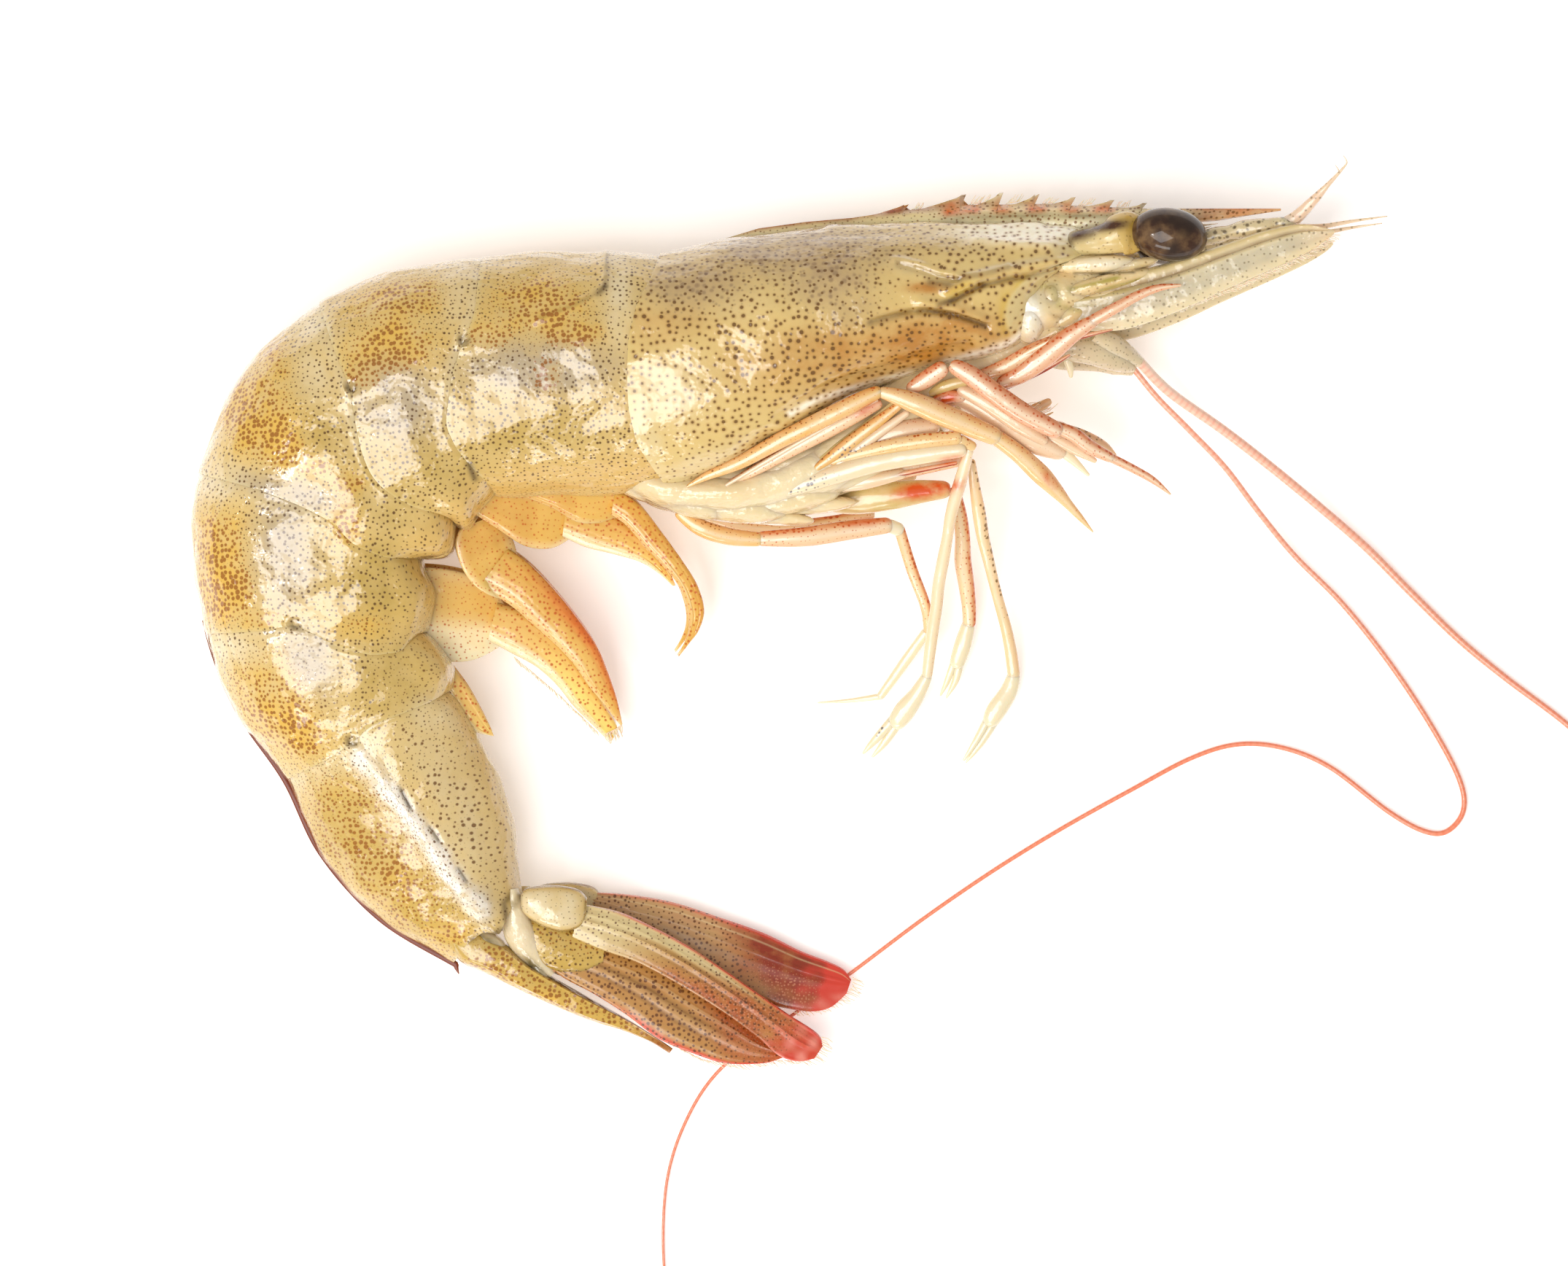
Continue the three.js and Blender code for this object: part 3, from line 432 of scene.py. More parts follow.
def section(angle, rounds=TRUNK_ROUNDS):
    """Place from belly (-1) to back (1) and height, for a section of unit size."""
    c, s = np.cos(angle), np.sin(angle)
    power = np.where(c > 0, *rounds)
    return np.sign(c) * np.abs(c) ** power, np.sign(s) * np.abs(s) ** power


def even_angles(count):
    """Angles that space the points of a section evenly, starting at the back."""
    dense = np.linspace(0, 2 * np.pi, 4001)
    up, out = section(dense)
    length = np.concatenate([[0], np.cumsum(np.hypot(np.diff(up) * 10, np.diff(out) * 8))])
    return np.interp(np.arange(count) / count * length[-1], length, dense)


def trunk_points(table, station, angle, lift, rounds=TRUNK_ROUNDS):
    """Points of the trunk form at stations (n, m) and angles (m,), lifted off it by lift mm."""
    rows = row_at(table, station / (len(table) - 1))
    axis = rows[..., 0:2] - rows[..., 2:4]
    half_depth = np.linalg.norm(axis, axis=-1) / 2
    centre = (rows[..., 0:2] + rows[..., 2:4]) / 2
    up, out = section(angle, rounds)
    flat = centre + axis / (2 * half_depth[..., None]) * (up * (half_depth + lift))[..., None]
    return np.concatenate([flat, (rows[..., 4] + out * (rows[..., 5] + lift))[..., None]], -1)


def rolled_out(table, station, angle, rounds=TRUNK_ROUNDS):
    """The trunk rolled out flat, each section sideways from its top and bottom."""
    rows = row_at(table, station / (len(table) - 1))
    axis = rows[..., 0:2] - rows[..., 2:4]
    half_depth = np.linalg.norm(axis, axis=-1) / 2
    up, out = section(angle, rounds)
    across = np.diff(up)[None, :] * (half_depth[:, 1:] + half_depth[:, :-1]) / 2
    upward = np.diff(out)[None, :] * (rows[:, 1:, 5] + rows[:, :-1, 5]) / 2
    arc = np.cumsum(np.hypot(across, upward), axis=1)
    arc = np.concatenate([np.zeros((len(arc), 1)), arc], axis=1)
    top, bottom = (np.abs(angle - turn).argmin() for turn in (np.pi / 2, 1.5 * np.pi))
    aside = np.where(angle <= np.pi, arc[:, top : top + 1] - arc, arc - arc[:, bottom : bottom + 1])
    centre = (rows[..., 0:2] + rows[..., 2:4]) / 2
    flat = centre + axis / (2 * half_depth[..., None]) * aside[..., None]
    return flat[..., 0], flat[..., 1]


def edge_stations(table, edge):
    """A function that gives an edge's station for each depth, 0 at the back to 1 at the belly."""
    stations = np.linspace(0, len(table) - 1, 2001)
    rows = row_at(table, stations / (len(table) - 1))
    line = rows[:, 2:4] - rows[:, 0:2]
    found = []
    for point in edge:
        depth = ((point - rows[:, 0:2]) * line).sum(1) / (line**2).sum(1)
        away = np.linalg.norm(rows[:, 0:2] + depth[:, None] * line - point, axis=1)
        best = away.argmin()
        found.append((depth[best], stations[best]))
    depths, places = np.array(sorted(found)).T
    soften = np.linspace(-0.03, 0.03, 7)
    return lambda depth: np.mean([np.interp(depth + o, depths, places) for o in soften], axis=0)


print("angles:", np.degrees(even_angles(8)).round())

# %% [markdown]
# ## Plates, ovals and lines
# A plate runs from just under the plate in front to a raised lip with a turned-in wall, so that its lap
# reads as a sheet. Pigment gathers in soft ovals, given by a middle, half sizes, tilt and strength. Each
# groove or ridge is a line of points with a width.

# %% Plates, ovals and lines
LAP = 0.08  # mm that a plate sinks under the one in front
WALL = 0.45  # mm that the lip turns in


def plate(table, front, rear, rows, sides, relief, paint):
    """A plate of shell between two edges. relief(x, y, s) lifts it; paint(x, y, s, turn) marks it."""
    angle = even_angles(sides)
    depth = (1 - section(angle)[0]) / 2
    start, end = edge_stations(table, front)(depth), edge_stations(table, rear)(depth)
    s = np.concatenate([[-0.09, -0.05], np.linspace(0, 1, rows), [1.0, 0.985, 0.93]])
    lift = np.interp(s, [-0.09, 0, 0.06, 0.9, 0.97, 1], [-0.9, -LAP, 0, 0, 0.05, 0.02])
    lift[-3:] = [-0.12, -WALL, -WALL - 0.3]
    station = start + (end - start) * s[:, None]
    roof = ramp(station, 9.6, 12.4)
    rounds = [oval + (ridged - oval) * roof for oval, ridged in zip(TRUNK_ROUNDS, ROOF_ROUNDS)]
    lift = np.broadcast_to(lift[:, None], station.shape)
    rings = trunk_points(table, station, angle, lift, rounds)
    raised = lift + relief(rings[..., 0], rings[..., 1], s[:, None], angle)
    rings = trunk_points(table, station, angle, raised, rounds)
    marks = paint(rings[..., 0], rings[..., 1], s[:, None] + 0 * depth, depth + 0 * s[:, None])
    return skin(rings, marks, rolled_out(table, station, angle))


def ovals(x, y, patches):
    """Soft ovals (x, y, half length, half width, tilt degrees, strength), laid over each other."""
    total = np.zeros(np.broadcast(x, y).shape)
    for px, py, long, wide, tilt, strength in patches:
        a = np.radians(tilt)
        u = ((x - px) * np.cos(a) + (y - py) * np.sin(a)) / long
        v = ((y - py) * np.cos(a) - (x - px) * np.sin(a)) / wide
        total = np.maximum(total, strength * np.exp(-((u * u + v * v) ** 1.4)))
    return total


def near_line(x, y, line, width):
    """1 on a line of points, falling to 0 a few widths away, and thinning out at its ends."""
    best = np.full(np.broadcast(x, y).shape, 1e9)
    for (x0, y0), (x1, y1) in zip(line, line[1:]):
        dx, dy = x1 - x0, y1 - y0
        f = clamp(((x - x0) * dx + (y - y0) * dy) / (dx * dx + dy * dy))
        best = np.minimum(best, (x - x0 - f * dx) ** 2 + (y - y0 - f * dy) ** 2)
    return np.exp(-best / (width * width))


def lines(x, y, table):
    """Several lines (width, strength, points) added up."""
    return sum(strength * near_line(x, y, points, width) for width, strength, points in table)


print("an oval at its middle:", ovals(0.0, 0.0, [(0, 0, 1, 1, 0, 1)]))

# %% [markdown]
# ## Pigment and relief of the rings
# Amber patches ride on each ring's back and flank, with olive below and a paler band at each joint. On the
# last ring's back two olive patches are painted shade, which darkens it where it faces the soft box. Milky
# patches are a neutral tone laid where the soft box's gleams fall, so that the gleams read whiter: part of
# a painted highlight. Inky and crowded areas have large or packed freckles. Each joint turns on a knob, and
# the last ring has a ridge along its flank, with a painted highlight line on it.

# %% Patches: x, y, half length, half width, tilt, strength
AMBER = [
    (-10.6, 5.6, 5.2, 3.4, 0, 0.7), (-9.6, 8.4, 5.6, 1.8, 0, 0.4), (-8, 3.2, 3.2, 1.4, 0, 0.95),
    (-14.8, 3, 2.2, 1.4, 0, 0.9), (-10, -0.4, 1.5, 2, 0, 0.8), (-22.6, 6, 5.2, 2.6, 14, 0.7),
    (-23.2, 1.9, 4.2, 2.5, 8, 0.95), (-25.4, -0.4, 2, 1.2, -10, 0.9), (-19.6, 2, 3, 2.4, 0, 0.4),
    (-33.8, 1.8, 2, 4.2, 32, 0.6), (-34.8, -3.6, 3.4, 4.6, 26, 0.95), (-32.6, -6.6, 2.2, 1.9, 0, 1.1),
    (-30.2, -8, 2.6, 1, -12, 0.8), (-26.8, -9.6, 1.7, 1.3, 0, 0.8), (-27, -12.8, 1.6, 2.6, 0, 0.75),
    (-38.2, -15.2, 3, 4.6, 0, 0.75), (-37.8, -18.6, 3.2, 2.8, 0, 1.1), (-34.6, -21, 3.4, 1.2, 0, 0.6),
    (-33, -28.2, 3.4, 3.8, 24, 0.85), (-31.6, -30.8, 3.4, 2.2, -24, 1), (-27, -37, 3.6, 5, 35, 0.2),
    (-28.4, -35.4, 2.6, 1.3, -18, 0.4), (-22, -44.4, 4, 3.6, 45, 0.35), (-18.6, -48.2, 3.2, 2.2, 30, 0.6),
    (-25.6, -21.5, 3.4, 1.3, 0, 0.5), (-20.2, -36.6, 1.8, 2.6, 25, 0.4),
]
# Olive patches. The two on the last ring's back, tilted 35 and -40 degrees, are painted shade where it
# faces the soft box.
OLIVE_AND_SHADE = [
    (-24.4, -18, 4.2, 4.6, 0, 0.8), (-23, -26.4, 3.6, 3.6, 0, 0.8), (-20.6, -35, 2, 4, 18, 0.3),
    (-29.4, -5.2, 2.6, 2.6, 0, 0.7), (-26.4, -39.6, 4, 7, 35, 0.7), (-20, -46.6, 6.5, 3.6, -40, 1),
    (-26.5, -11.4, 1.8, 1.6, 0, 0.8), (-21, -7.6, 6, 3.2, 0, 0.8), (-11.6, -4.8, 7, 2.6, 0, 0.7),
    (-31.8, -11.9, 3.4, 1.1, -18, 0.5), (-22, -11.8, 3.6, 2.2, 0, 0.5),
]
PALE = [
    (-3.9, 6.4, 1.2, 4.4, 0, 0.75), (-17.6, 7.4, 1.4, 3.4, 0, 0.5), (-30.2, 4.6, 1.5, 3.2, 32, 0.8),
    (-38.2, -9.4, 3, 1.8, 0, 0.8), (-37, -23.5, 3, 1.2, -10, 0.85), (-18, -36.8, 2.8, 7, 25, 0.5),
    (-19.6, -29.4, 2.4, 1.8, -25, 0.5), (-29.8, -0.4, 1.5, 2.4, 20, 0.6),
]
# Milky patches: a neutral tone where the soft box's gleams fall, so the gleams read whiter; part of a
# painted highlight.
MILKY_UNDER_GLEAMS = [
    (-32.4, -15.6, 2.8, 4.8, 0, 1), (-22.6, -2.6, 3.8, 3.2, -20, 1), (-11, 0.3, 7, 2.4, 0, 1),
    (-30.2, -24.4, 2, 3.4, 20, 1), (-32, -10.3, 4.6, 1.4, -14, 0.9), (-15.6, -45.6, 1, 1.6, 0, 0.7),
]
INKY = [
    (-19, -38.5, 3.6, 7, 18, 0.9), (-22.4, -31, 4, 2, -20, 0.8), (-31, -29, 5, 4.4, 20, 0.7),
    (-22, -44.5, 5, 3, 40, 0.8), (-27, -37, 3, 4.5, 35, 0.6), (-21.4, -25.6, 4, 4, 0, 0.5),
    (-17.2, -37.4, 4.2, 8.5, 22, 0.9),
]
CROWDED = [
    (-25, -41, 4.2, 9.5, 38, 0.9), (-33.5, -28.4, 3.6, 5, 25, 0.9), (-37.4, -16.5, 2.8, 5.5, 0, 0.5),
    (-10.6, 5, 6, 3.6, 0, 0.45), (-22.8, 4.6, 5.6, 3.4, 12, 0.35), (-34.4, -2.4, 3.4, 6, 28, 0.5),
]
# Knobs: x, y, size. Lines: width, strength, points.
SIDE_LINE = [(-25.9, -32.9), (-22.2, -37.4), (-18.6, -42.4), (-15.7, -46.0)]
# A painted highlight line along the side ridge of the last ring.
SIDE_RIDGE_GLEAM = [(0.85, 1.3, SIDE_LINE)]
KNOBS = [(-16.9, 2.7, 1), (-26.5, -1.3, 1), (-31.4, -21.4, 0.7), (-26.6, -31.4, 0.9)]
RIDGES = [
    (0.7, 0.3, SIDE_LINE),
    (0.22, -0.2, [(-22.5, -35.6), (-21.6, -37.4)]),
    (0.2, -0.2, [(-20.2, -38.6), (-19.2, -40.2)]),
    (0.2, -0.2, [(-17.7, -42.4), (-17.1, -43.5)]),
    (0.35, 0.16, [(-5, 10.2), (-4.9, 7.4), (-5.6, 6.4), (-8, 5.4), (-10.8, 4.3)]),
]
DARK_LINES = [
    (0.16, 0.6, [(-4.9, 10.2), (-4.9, 8.4), (-5, 7.2)]),
    (0.3, 0.8, [(-5.1, 7.1), (-5.6, 6.6)]),
    (0.2, 0.35, [(-6.2, 6.3), (-8, 5.4), (-10.6, 4.4)]),
    (0.17, 0.9, [(-22.5, -35.6), (-21.7, -37.2)]),
    (0.15, 0.8, [(-20, -38.9), (-19.3, -40)]),
    (0.15, 0.8, [(-17.6, -42.4), (-17, -43.5)]),
    (0.3, 0.8, [(-16.5, -8), (-16.1, -9.1)]),
    (0.35, 0.8, [(-16.5, -48.6), (-15.4, -48.4), (-14, -47.8)]),
    (0.3, 0.7, [(-13.6, -46.9), (-13.8, -45.4), (-13, -44.5)]),
]
print("amber patches:", len(AMBER))

# %% [markdown]
# ## Relief and paint of the rings
# Relief lifts the plates by tenths of a millimetre: lips round the knobs, a keel on the back and rounded
# lobes at the lower edge. Paint turns patches into marks. Depth runs from back to belly, and its square
# root spreads out the narrow band along the back.


# %% Relief and paint of the rings
def knob_rings(x, y):
    """Lips round the hinge knobs, and how near each point is to a knob's middle."""
    lips, middles = 0, 0
    for kx, ky, size in KNOBS:
        away = np.hypot(x - kx, y - ky)
        facing = ramp((kx - x) * 0.5 + (ky - y) * 0.8, -0.5, 0.3)
        lips = lips + size * facing * np.exp(-(((away - 0.75) / 0.16) ** 2))
        middles = middles + size * np.exp(-(((away - 0.32) / 0.2) ** 2)) * (0.4 + 0.6 * facing)
    return lips, middles


def segment_relief(x, y, s, angle):
    """Hinge knobs, side ridges, keel and belly lobes."""
    lips, middles = knob_rings(x, y)
    waves = 0.05 * np.sin(x * 0.9 + y * 0.5) + 0.05 * np.sin(y * 1.3 - x * 0.6)
    off_back = np.minimum(angle, 2 * np.pi - angle)
    keel = 0.08 * np.exp(-((off_back / 0.08) ** 2)) * ramp(-y, 8.0, 20.0)
    within = clamp(s)
    barrel = -0.14 * np.cos(within * 2 * np.pi)
    depth = (1 - section(angle)[0]) / 2
    lobes = (1.15 * np.sin(np.pi * within) ** 0.7 - 0.35) * ramp(depth, 0.84, 0.97) * ramp(-y, 8.0, 11.0)
    lobes = lobes * (1 - 0.75 * ramp(-y, 27, 31))
    return 0.3 * lips - 0.25 * middles + waves + keel + barrel + lobes + lines(x, y, RIDGES)


def segment_paint(x, y, s, depth):
    """Marks of the six rings."""
    tail = ramp(-y, 20, 30)
    belly = ramp(depth, 0.78, 0.95)
    amber = ovals(x, y, AMBER)
    inky = ovals(x, y, INKY)
    joint = 0.5 * ramp(s, 0.14, 0.02) * ramp(depth, 0.62, 0.5)
    pale = np.maximum(ovals(x, y, PALE), joint)
    crowded = np.maximum(ramp(amber, 0.2, 0.75), ovals(x, y, CROWDED)) * (1 - 0.5 * pale)
    even = np.clip(1.05 - 0.1 * pale - inky, 0.2, 1.3) * (1 - 0.3 * belly)
    lip = ramp(s, 0.975, 0.995) * (0.25 + 0.2 * tail)
    return {
        # The milky mark is a tone under the gleams, part of a painted highlight.
        "amber": amber, "pale": pale, "milky": ovals(x, y, MILKY_UNDER_GLEAMS),
        # gleam is a painted highlight line on the last ring's side ridge.
        "gleam": clamp(lines(x, y, SIDE_RIDGE_GLEAM)),
        # The olive mark also holds painted shade on the last ring's back.
        "olive": ovals(x, y, OLIVE_AND_SHADE),
        "red": 0.9 * ramp(np.sqrt(depth), 0.12, 0.05) * tail,
        "dark": clamp(lines(x, y, DARK_LINES) + 0.75 * knob_rings(x, y)[1]),
        "rim": lip + 0.6 * ramp(depth, 0.975, 0.99),
        "belly": belly * (1 - 0.7 * ramp(-y, 17, 24)),
        "dense": even * (1 - 0.85 * crowded), "packed": 1.1 * crowded, "inky": inky * (1 - 0.6 * crowded),
    }


print("hinge knobs:", len(KNOBS))

# %% [markdown]
# ## Six rings
# Straw-coloured chitin over pale muscle. Packed freckles lie on the amber, large dark ones near the
# joints and small ones everywhere. The lamps' gleams, a painted highlight line on the last ring and dots at
# two depths make the shell look clear.

# %% Six rings
abdomen_shell = chitin(
    "pigmented abdomen chitin",
    ("#D3B470", "#DDC284"),
    [
        ("belly", "#DAB468", 0.2), ("olive", "#BE9E4E", 0.5), ("amber", "#DAB04E", 0.9),
        # The milky stain is a neutral tone under the gleams, part of a painted highlight.
        ("pale", "#E0CCA0", 0.5), ("milky", "#BAA684", 0.5), ("rim", "#DCC690", 0.1),
        # gleam: a painted highlight line on the last ring's side ridge.
        ("red", "#8A3A0C", 0.2), ("gleam", "#F2E8D6", 0.8), ("dark", "#4E3816", 0.2),
    ],
    [
        (0.46, 0.175, 0.05, "#96590A", 0.9, "packed"),
        (0.62, 0.165, 0.05, "#6C4006", 0.88, "inky"),
        (0.50, 0.11, 0.045, "#5A3604", 0.9, "dense"),
    ],
)

for number, (front, rear) in enumerate(zip(EDGES, EDGES[1:]), 1):
    made = plate(ABDOMEN, front, rear, 90, 220, segment_relief, segment_paint)
    piece(f"abdomen_shell_{number}", made, abdomen_shell, "shell", f"abdomen_{number}")

# %% [markdown]
# ## Head shell
# The carapace is one plate without joints. Two ridges run forward to the spine under the eye, pressed
# into the mesh because they catch the light. Stomach and gills show through as a grey cloud and amber
# patches. Painted highlights lie along its lower margin, along its back and at the rear of its flank.


# %% Lines and patches of the head shell
HEAD_RELIEF = [
    (0.3, -0.45, [(17.6, 4.1), (20.8, 5), (22.4, 5), (24.4, 4.7), (26, 4.3), (27.4, 3.8)]),
    (0.45, 0.3, [(21.8, 5.8), (23.8, 5.6), (25.6, 5), (27.2, 4.4)]),
    (0.4, 0.35, [(24, 6.8), (26, 7.6), (28, 8.2), (30, 8.7), (32, 9.1), (34, 9.4)]),
    (0.26, -0.35, [(24.4, 5.9), (25.4, 6.5), (27, 7.3), (29, 7.8), (31, 8.1), (33, 8.8)]),
    (0.3, 0.22, [(19.6, 9.5), (21.8, 9), (23.4, 8.3), (25.4, 8), (27, 8.3), (29.2, 8.9)]),
    (0.28, -0.25, [(20, 9.1), (21.8, 8.6), (23.4, 8), (25, 7.7)]),
    (0.35, 0.25, [(14, 12.3), (20, 12.5), (26, 12.4), (32, 12.6)]),
    (0.35, 0.28, [(26.5, 11.3), (30, 10.8), (33, 10.7)]),
    (0.9, 0.3, [(10, -4.6), (14, -2.4), (18, -1), (22, 0.5), (26, 1.6), (29.8, 2.8)]),
    (0.35, -0.22, [(9.6, -3.9), (13.6, -1.4), (18, 0), (22, 1.4), (26, 2.4)]),
]
HEAD_DARK = [
    (0.28, 0.95, [(21.6, 5.1), (22.4, 5.15), (24.4, 4.8), (26, 4.35), (27.3, 3.85)]),
    (0.3, 0.55, [(17.6, 4.2), (19, 4.6), (21, 5.1)]),
    (0.32, 0.8, [(23.4, 5.6), (24.8, 6.1), (25.8, 6.6), (27, 7.3)]),
    (0.28, 0.55, [(27, 7.3), (29, 7.8), (31, 8.15), (33.2, 8.8)]),
    (0.3, 0.5, [(25.2, 7.9), (27.2, 8.2), (29.2, 8.8)]),
    (0.22, 0.5, [(19.8, 9.2), (21.8, 8.8), (23.4, 8.1), (25, 7.8)]),
    (0.2, 0.7, [(24, 12.8), (28, 13.1), (32, 13.3), (36, 13.4)]),
    (0.34, 0.7, [(22.6, 7.5), (24.2, 7.3)]),
]
# Painted highlight lines along the lower margin of the flank.
HEAD_MARGIN_GLEAM = [
    (0.3, 1, [(10.7, -3.6), (12.9, -2.5), (15.1, -1.7), (18.2, -0.9), (20.9, -0.2)]),
    (0.34, 1, [(24, 0.8), (27.1, 1.6), (29.3, 2.4), (30.4, 3.1)]),
]
HEAD_AMBER = [
    (22, 2.4, 7, 2.4, 10, 0.95), (14.5, 1.4, 5.5, 2.4, 0, 0.7), (22.3, 7, 2, 0.5, 0, 0.9),
    (26, 3.6, 3, 0.8, -18, 0.9), (0, 4, 4, 2, 0, 0.3), (16, -0.8, 5, 1.4, 20, 0.5),
    (10, 0.2, 6, 3, 0, 0.35),
]
HEAD_GREY = [
    (11, 10.2, 10, 2.6, 3, 0.95), (2.6, 7.6, 5, 2.4, 0, 0.8), (14, 8, 4, 2.8, 0, 0.85),
    (15.6, 5.6, 2.6, 2, 0, 0.6), (21.5, 11.2, 6, 1.3, 0, 0.4),
]
# Pale patches. The one at (0.6, -2.0) is a painted highlight at the rear of the flank.
HEAD_PALE_AND_HIGHLIGHT = [
    (20.6, 8.8, 2.2, 0.8, -14, 0.2), (30.5, 12.0, 6.0, 1.0, 0, 1.0), (4.0, -8.4, 5.0, 2.0, 20, 0.5),
    (-1.6, -6.0, 1.6, 5.0, 0, 0.6), (0.6, -2.0, 3.4, 3.2, 0, 0.6), (29.4, 9.0, 4.0, 0.35, 12, 0.6),
    (7.0, 5.2, 3.0, 1.4, 0, 0.2),
]
HEAD_YELLOW = [(29.2, 4.8, 0.8, 2, 0, 0.9), (30.6, 7.4, 1.2, 0.7, 40, 0.8), (25, 6.9, 1.4, 0.5, 25, 0.7)]
HEAD_PLAIN = [(20.4, 6.3, 3.0, 0.9, 8, 1.0), (20.6, 8.7, 2.0, 0.9, -14, 0.9)]
# A painted highlight along the back under the rostrum.
BACK_GLEAM = [(31.5, 12.0, 7.0, 1.1, 0, 1.0)]
# Fewer freckles under that painted highlight.
FEWER_FRECKLES_UNDER_HIGHLIGHT = [(0.6, -2.0, 3.4, 3.2, 0, 1.0)]
FULL_FRECKLES = [(10.0, 1.0, 9.0, 4.0, 0, 1.0)]


def head_relief(x, y, s, angle):
    """Ridges and grooves of the flank, and slow waves."""
    waves = 0.05 * np.sin(x * 0.7 + y * 0.4) + 0.04 * np.sin(y * 1.1 - x * 0.5)
    return waves + lines(x, y, HEAD_RELIEF)


def head_paint(x, y, s, depth):
    """Marks of the carapace."""
    grey = ovals(x, y, HEAD_GREY)
    plain = ovals(x, y, HEAD_PLAIN)
    shine = ovals(x, y, BACK_GLEAM)
    margin = clamp(lines(x, y, HEAD_MARGIN_GLEAM))
    fading = ramp(-y - 0.45 * x, 2.0, 7.0)
    # Freckles thin out under the painted highlights.
    fewer = 0.6 * margin + 0.95 * plain + 0.3 * shine + 0.4 * fading + 0.35 * ovals(x, y, FEWER_FRECKLES_UNDER_HIGHLIGHT)
    return {
        # The pale mark holds a painted highlight at the rear of the flank.
        "amber": ovals(x, y, HEAD_AMBER), "olive": grey, "pale": ovals(x, y, HEAD_PALE_AND_HIGHLIGHT),
        "yellow": ovals(x, y, HEAD_YELLOW),
        "dark": clamp(lines(x, y, HEAD_DARK)),
        "rim": np.maximum(ramp(s, 0.03, 0.0), ramp(depth, 0.95, 0.99)),
        # gleam: painted highlights on the lower margin and along the back.
        "gleam": clamp(lines(x, y, HEAD_MARGIN_GLEAM) + shine),
        "red": 0.8 * ramp(np.sqrt(depth), 0.08, 0.03) * ramp(x, 2, 12),
        "dense": np.clip(1.0 - fewer + 0.15 * ovals(x, y, FULL_FRECKLES), 0, 1.2),
        "broad": grey * (1 - plain),
        "soft": (1 - grey) * (1 - plain) * (1 - 0.7 * fading),
    }


print("grey patches on the head shell:", len(HEAD_GREY))

# %% [markdown]
# ## Finish of the head shell
# The same chitin, a little yellower, over dark organs. Wide blurred freckles lie deep in it and small
# sharp ones near its face, so the eye looks into it as into glass.

# %% Carapace
head_shell = chitin(
    "pigmented head chitin",
    ("#DABB74", "#E3C886"),
    [
        ("yellow", "#DCB94C", 0.3), ("amber", "#BE8336", 0.35), ("olive", "#B5986C", 0.3),
        ("pale", "#E0CB9A", 0.4), ("rim", "#DFC88C", 0.1), ("red", "#7A2E12", 0.3),
        ("dark", "#684616", 0.25), ("gleam", "#FFF4DA", 0.4),
    ],
    [
        (0.66, 0.27, 0.12, "#86694A", 0.6, "broad"),
        (0.70, 0.24, 0.14, "#A8741E", 0.45, "soft"),
        (0.70, 0.145, 0.06, "#623C06", 0.85, "dense"),
    ],
)
points, faces, marks = plate(HEAD_SHELL, HEAD_FRONT, HEAD_REAR, 150, 240, head_relief, head_paint)
outward = [face[::-1] for face in faces]  # this plate runs towards the tail, so its faces are turned
piece("head_shell", (points, outward, marks), head_shell, "shell", "carapace")

# %% [markdown]
# ## Rostrum: upright slices
# The crest along the back grows into a toothed blade that reaches past the eyes. Its rings are upright
# slices, and each tooth is a slope that rises to a tip and drops at once. A plain slice under a leaning
# tip is left out, or the skin would fold back on itself.


# %% Slices of the rostrum
CREST_TOP = [
    (3, 10.9), (8, 12.4), (12, 12.95), (16, 13.3), (20, 13.9), (26, 14.4), (32, 14.5), (41, 14.1),
    (50, 14.1),
]
CREST_FOOT = [
    (3, 10.4), (12, 11.2), (26, 11.6), (34, 11.9), (40, 12.4), (44, 12.8), (47.3, 13.05), (50, 13.5),
    (52.9, 13.95),
]
CREST_ROOT = [(3, 0.4), (18, 0.9), (26, 1.7), (31, 1.6), (36, 1.3), (41, 1), (47, 0.6), (52.9, 0.1)]
# Tip x, height and length of the slope of each tooth.
TEETH = [
    (20.9, 0.5, 3.4), (25.8, 0.95, 4.3), (29.0, 1.05, 2.5), (32.1, 0.9, 2.4), (35.2, 0.75, 2.4),
    (38.5, 0.65, 2.5), (41.3, 0.5, 2.1),
]
# Slices that shape a tooth's tip: how far back, share of the height, how far it leans forward.
TOOTH_TIP = [(0.6, 1.0, 0.6), (0.55, 0.55, 0.25), (0.5, 0.0, 0.0), (0.7, 0.95, 0.3)]
TIP_X = 52.9
SLICE = 0.25  # mm between plain slices


def at(table, x):
    """A table of (x, value) read at x."""
    return np.interp(x, *np.array(table).T)


def hidden(x, top, lean):
    """Whether an upright slice stands below the leaning tip of a tooth."""
    raised = lean == 0.0 and top > at(CREST_TOP, x) + 0.01
    return raised and any(tip - 0.55 < x <= tip for tip, _, _ in TEETH)


def crest_slices():
    """Slices from rear to front: place, height of the top and how far the top leans forward."""
    found = []
    for x in np.arange(3, TIP_X, SLICE):
        near = [tooth for tooth in TEETH if tooth[0] - tooth[2] < x <= tooth[0]]
        rise = max((h * ((x - tip + slope) / slope) ** 1.3 for tip, h, slope in near), default=0)
        found.append((x, at(CREST_TOP, x) + rise, 0.0))
    for tip, height, _ in TEETH:
        for back, share, lean in TOOTH_TIP:
            found.append((tip - back, at(CREST_TOP, tip) + share * height, lean))
    return sorted([one for one in found if not hidden(*one)], key=lambda one: one[0])


print("slices:", len(crest_slices()))

# %% [markdown]
# ## Rostrum: skin and finish
# The blade is thin above and swells into a root between the eyes. This chitin has no flesh behind it, so
# it is paler and glows at its edges, and the orange patches read as spots of stained glass.


# %% Rostrum
MID_PLANE = 8.3  # height of the shrimp's own middle above the table
ORANGE_PLACES = (24.6, 26.2, 28.9, 31.8, 34.6, 37.4)


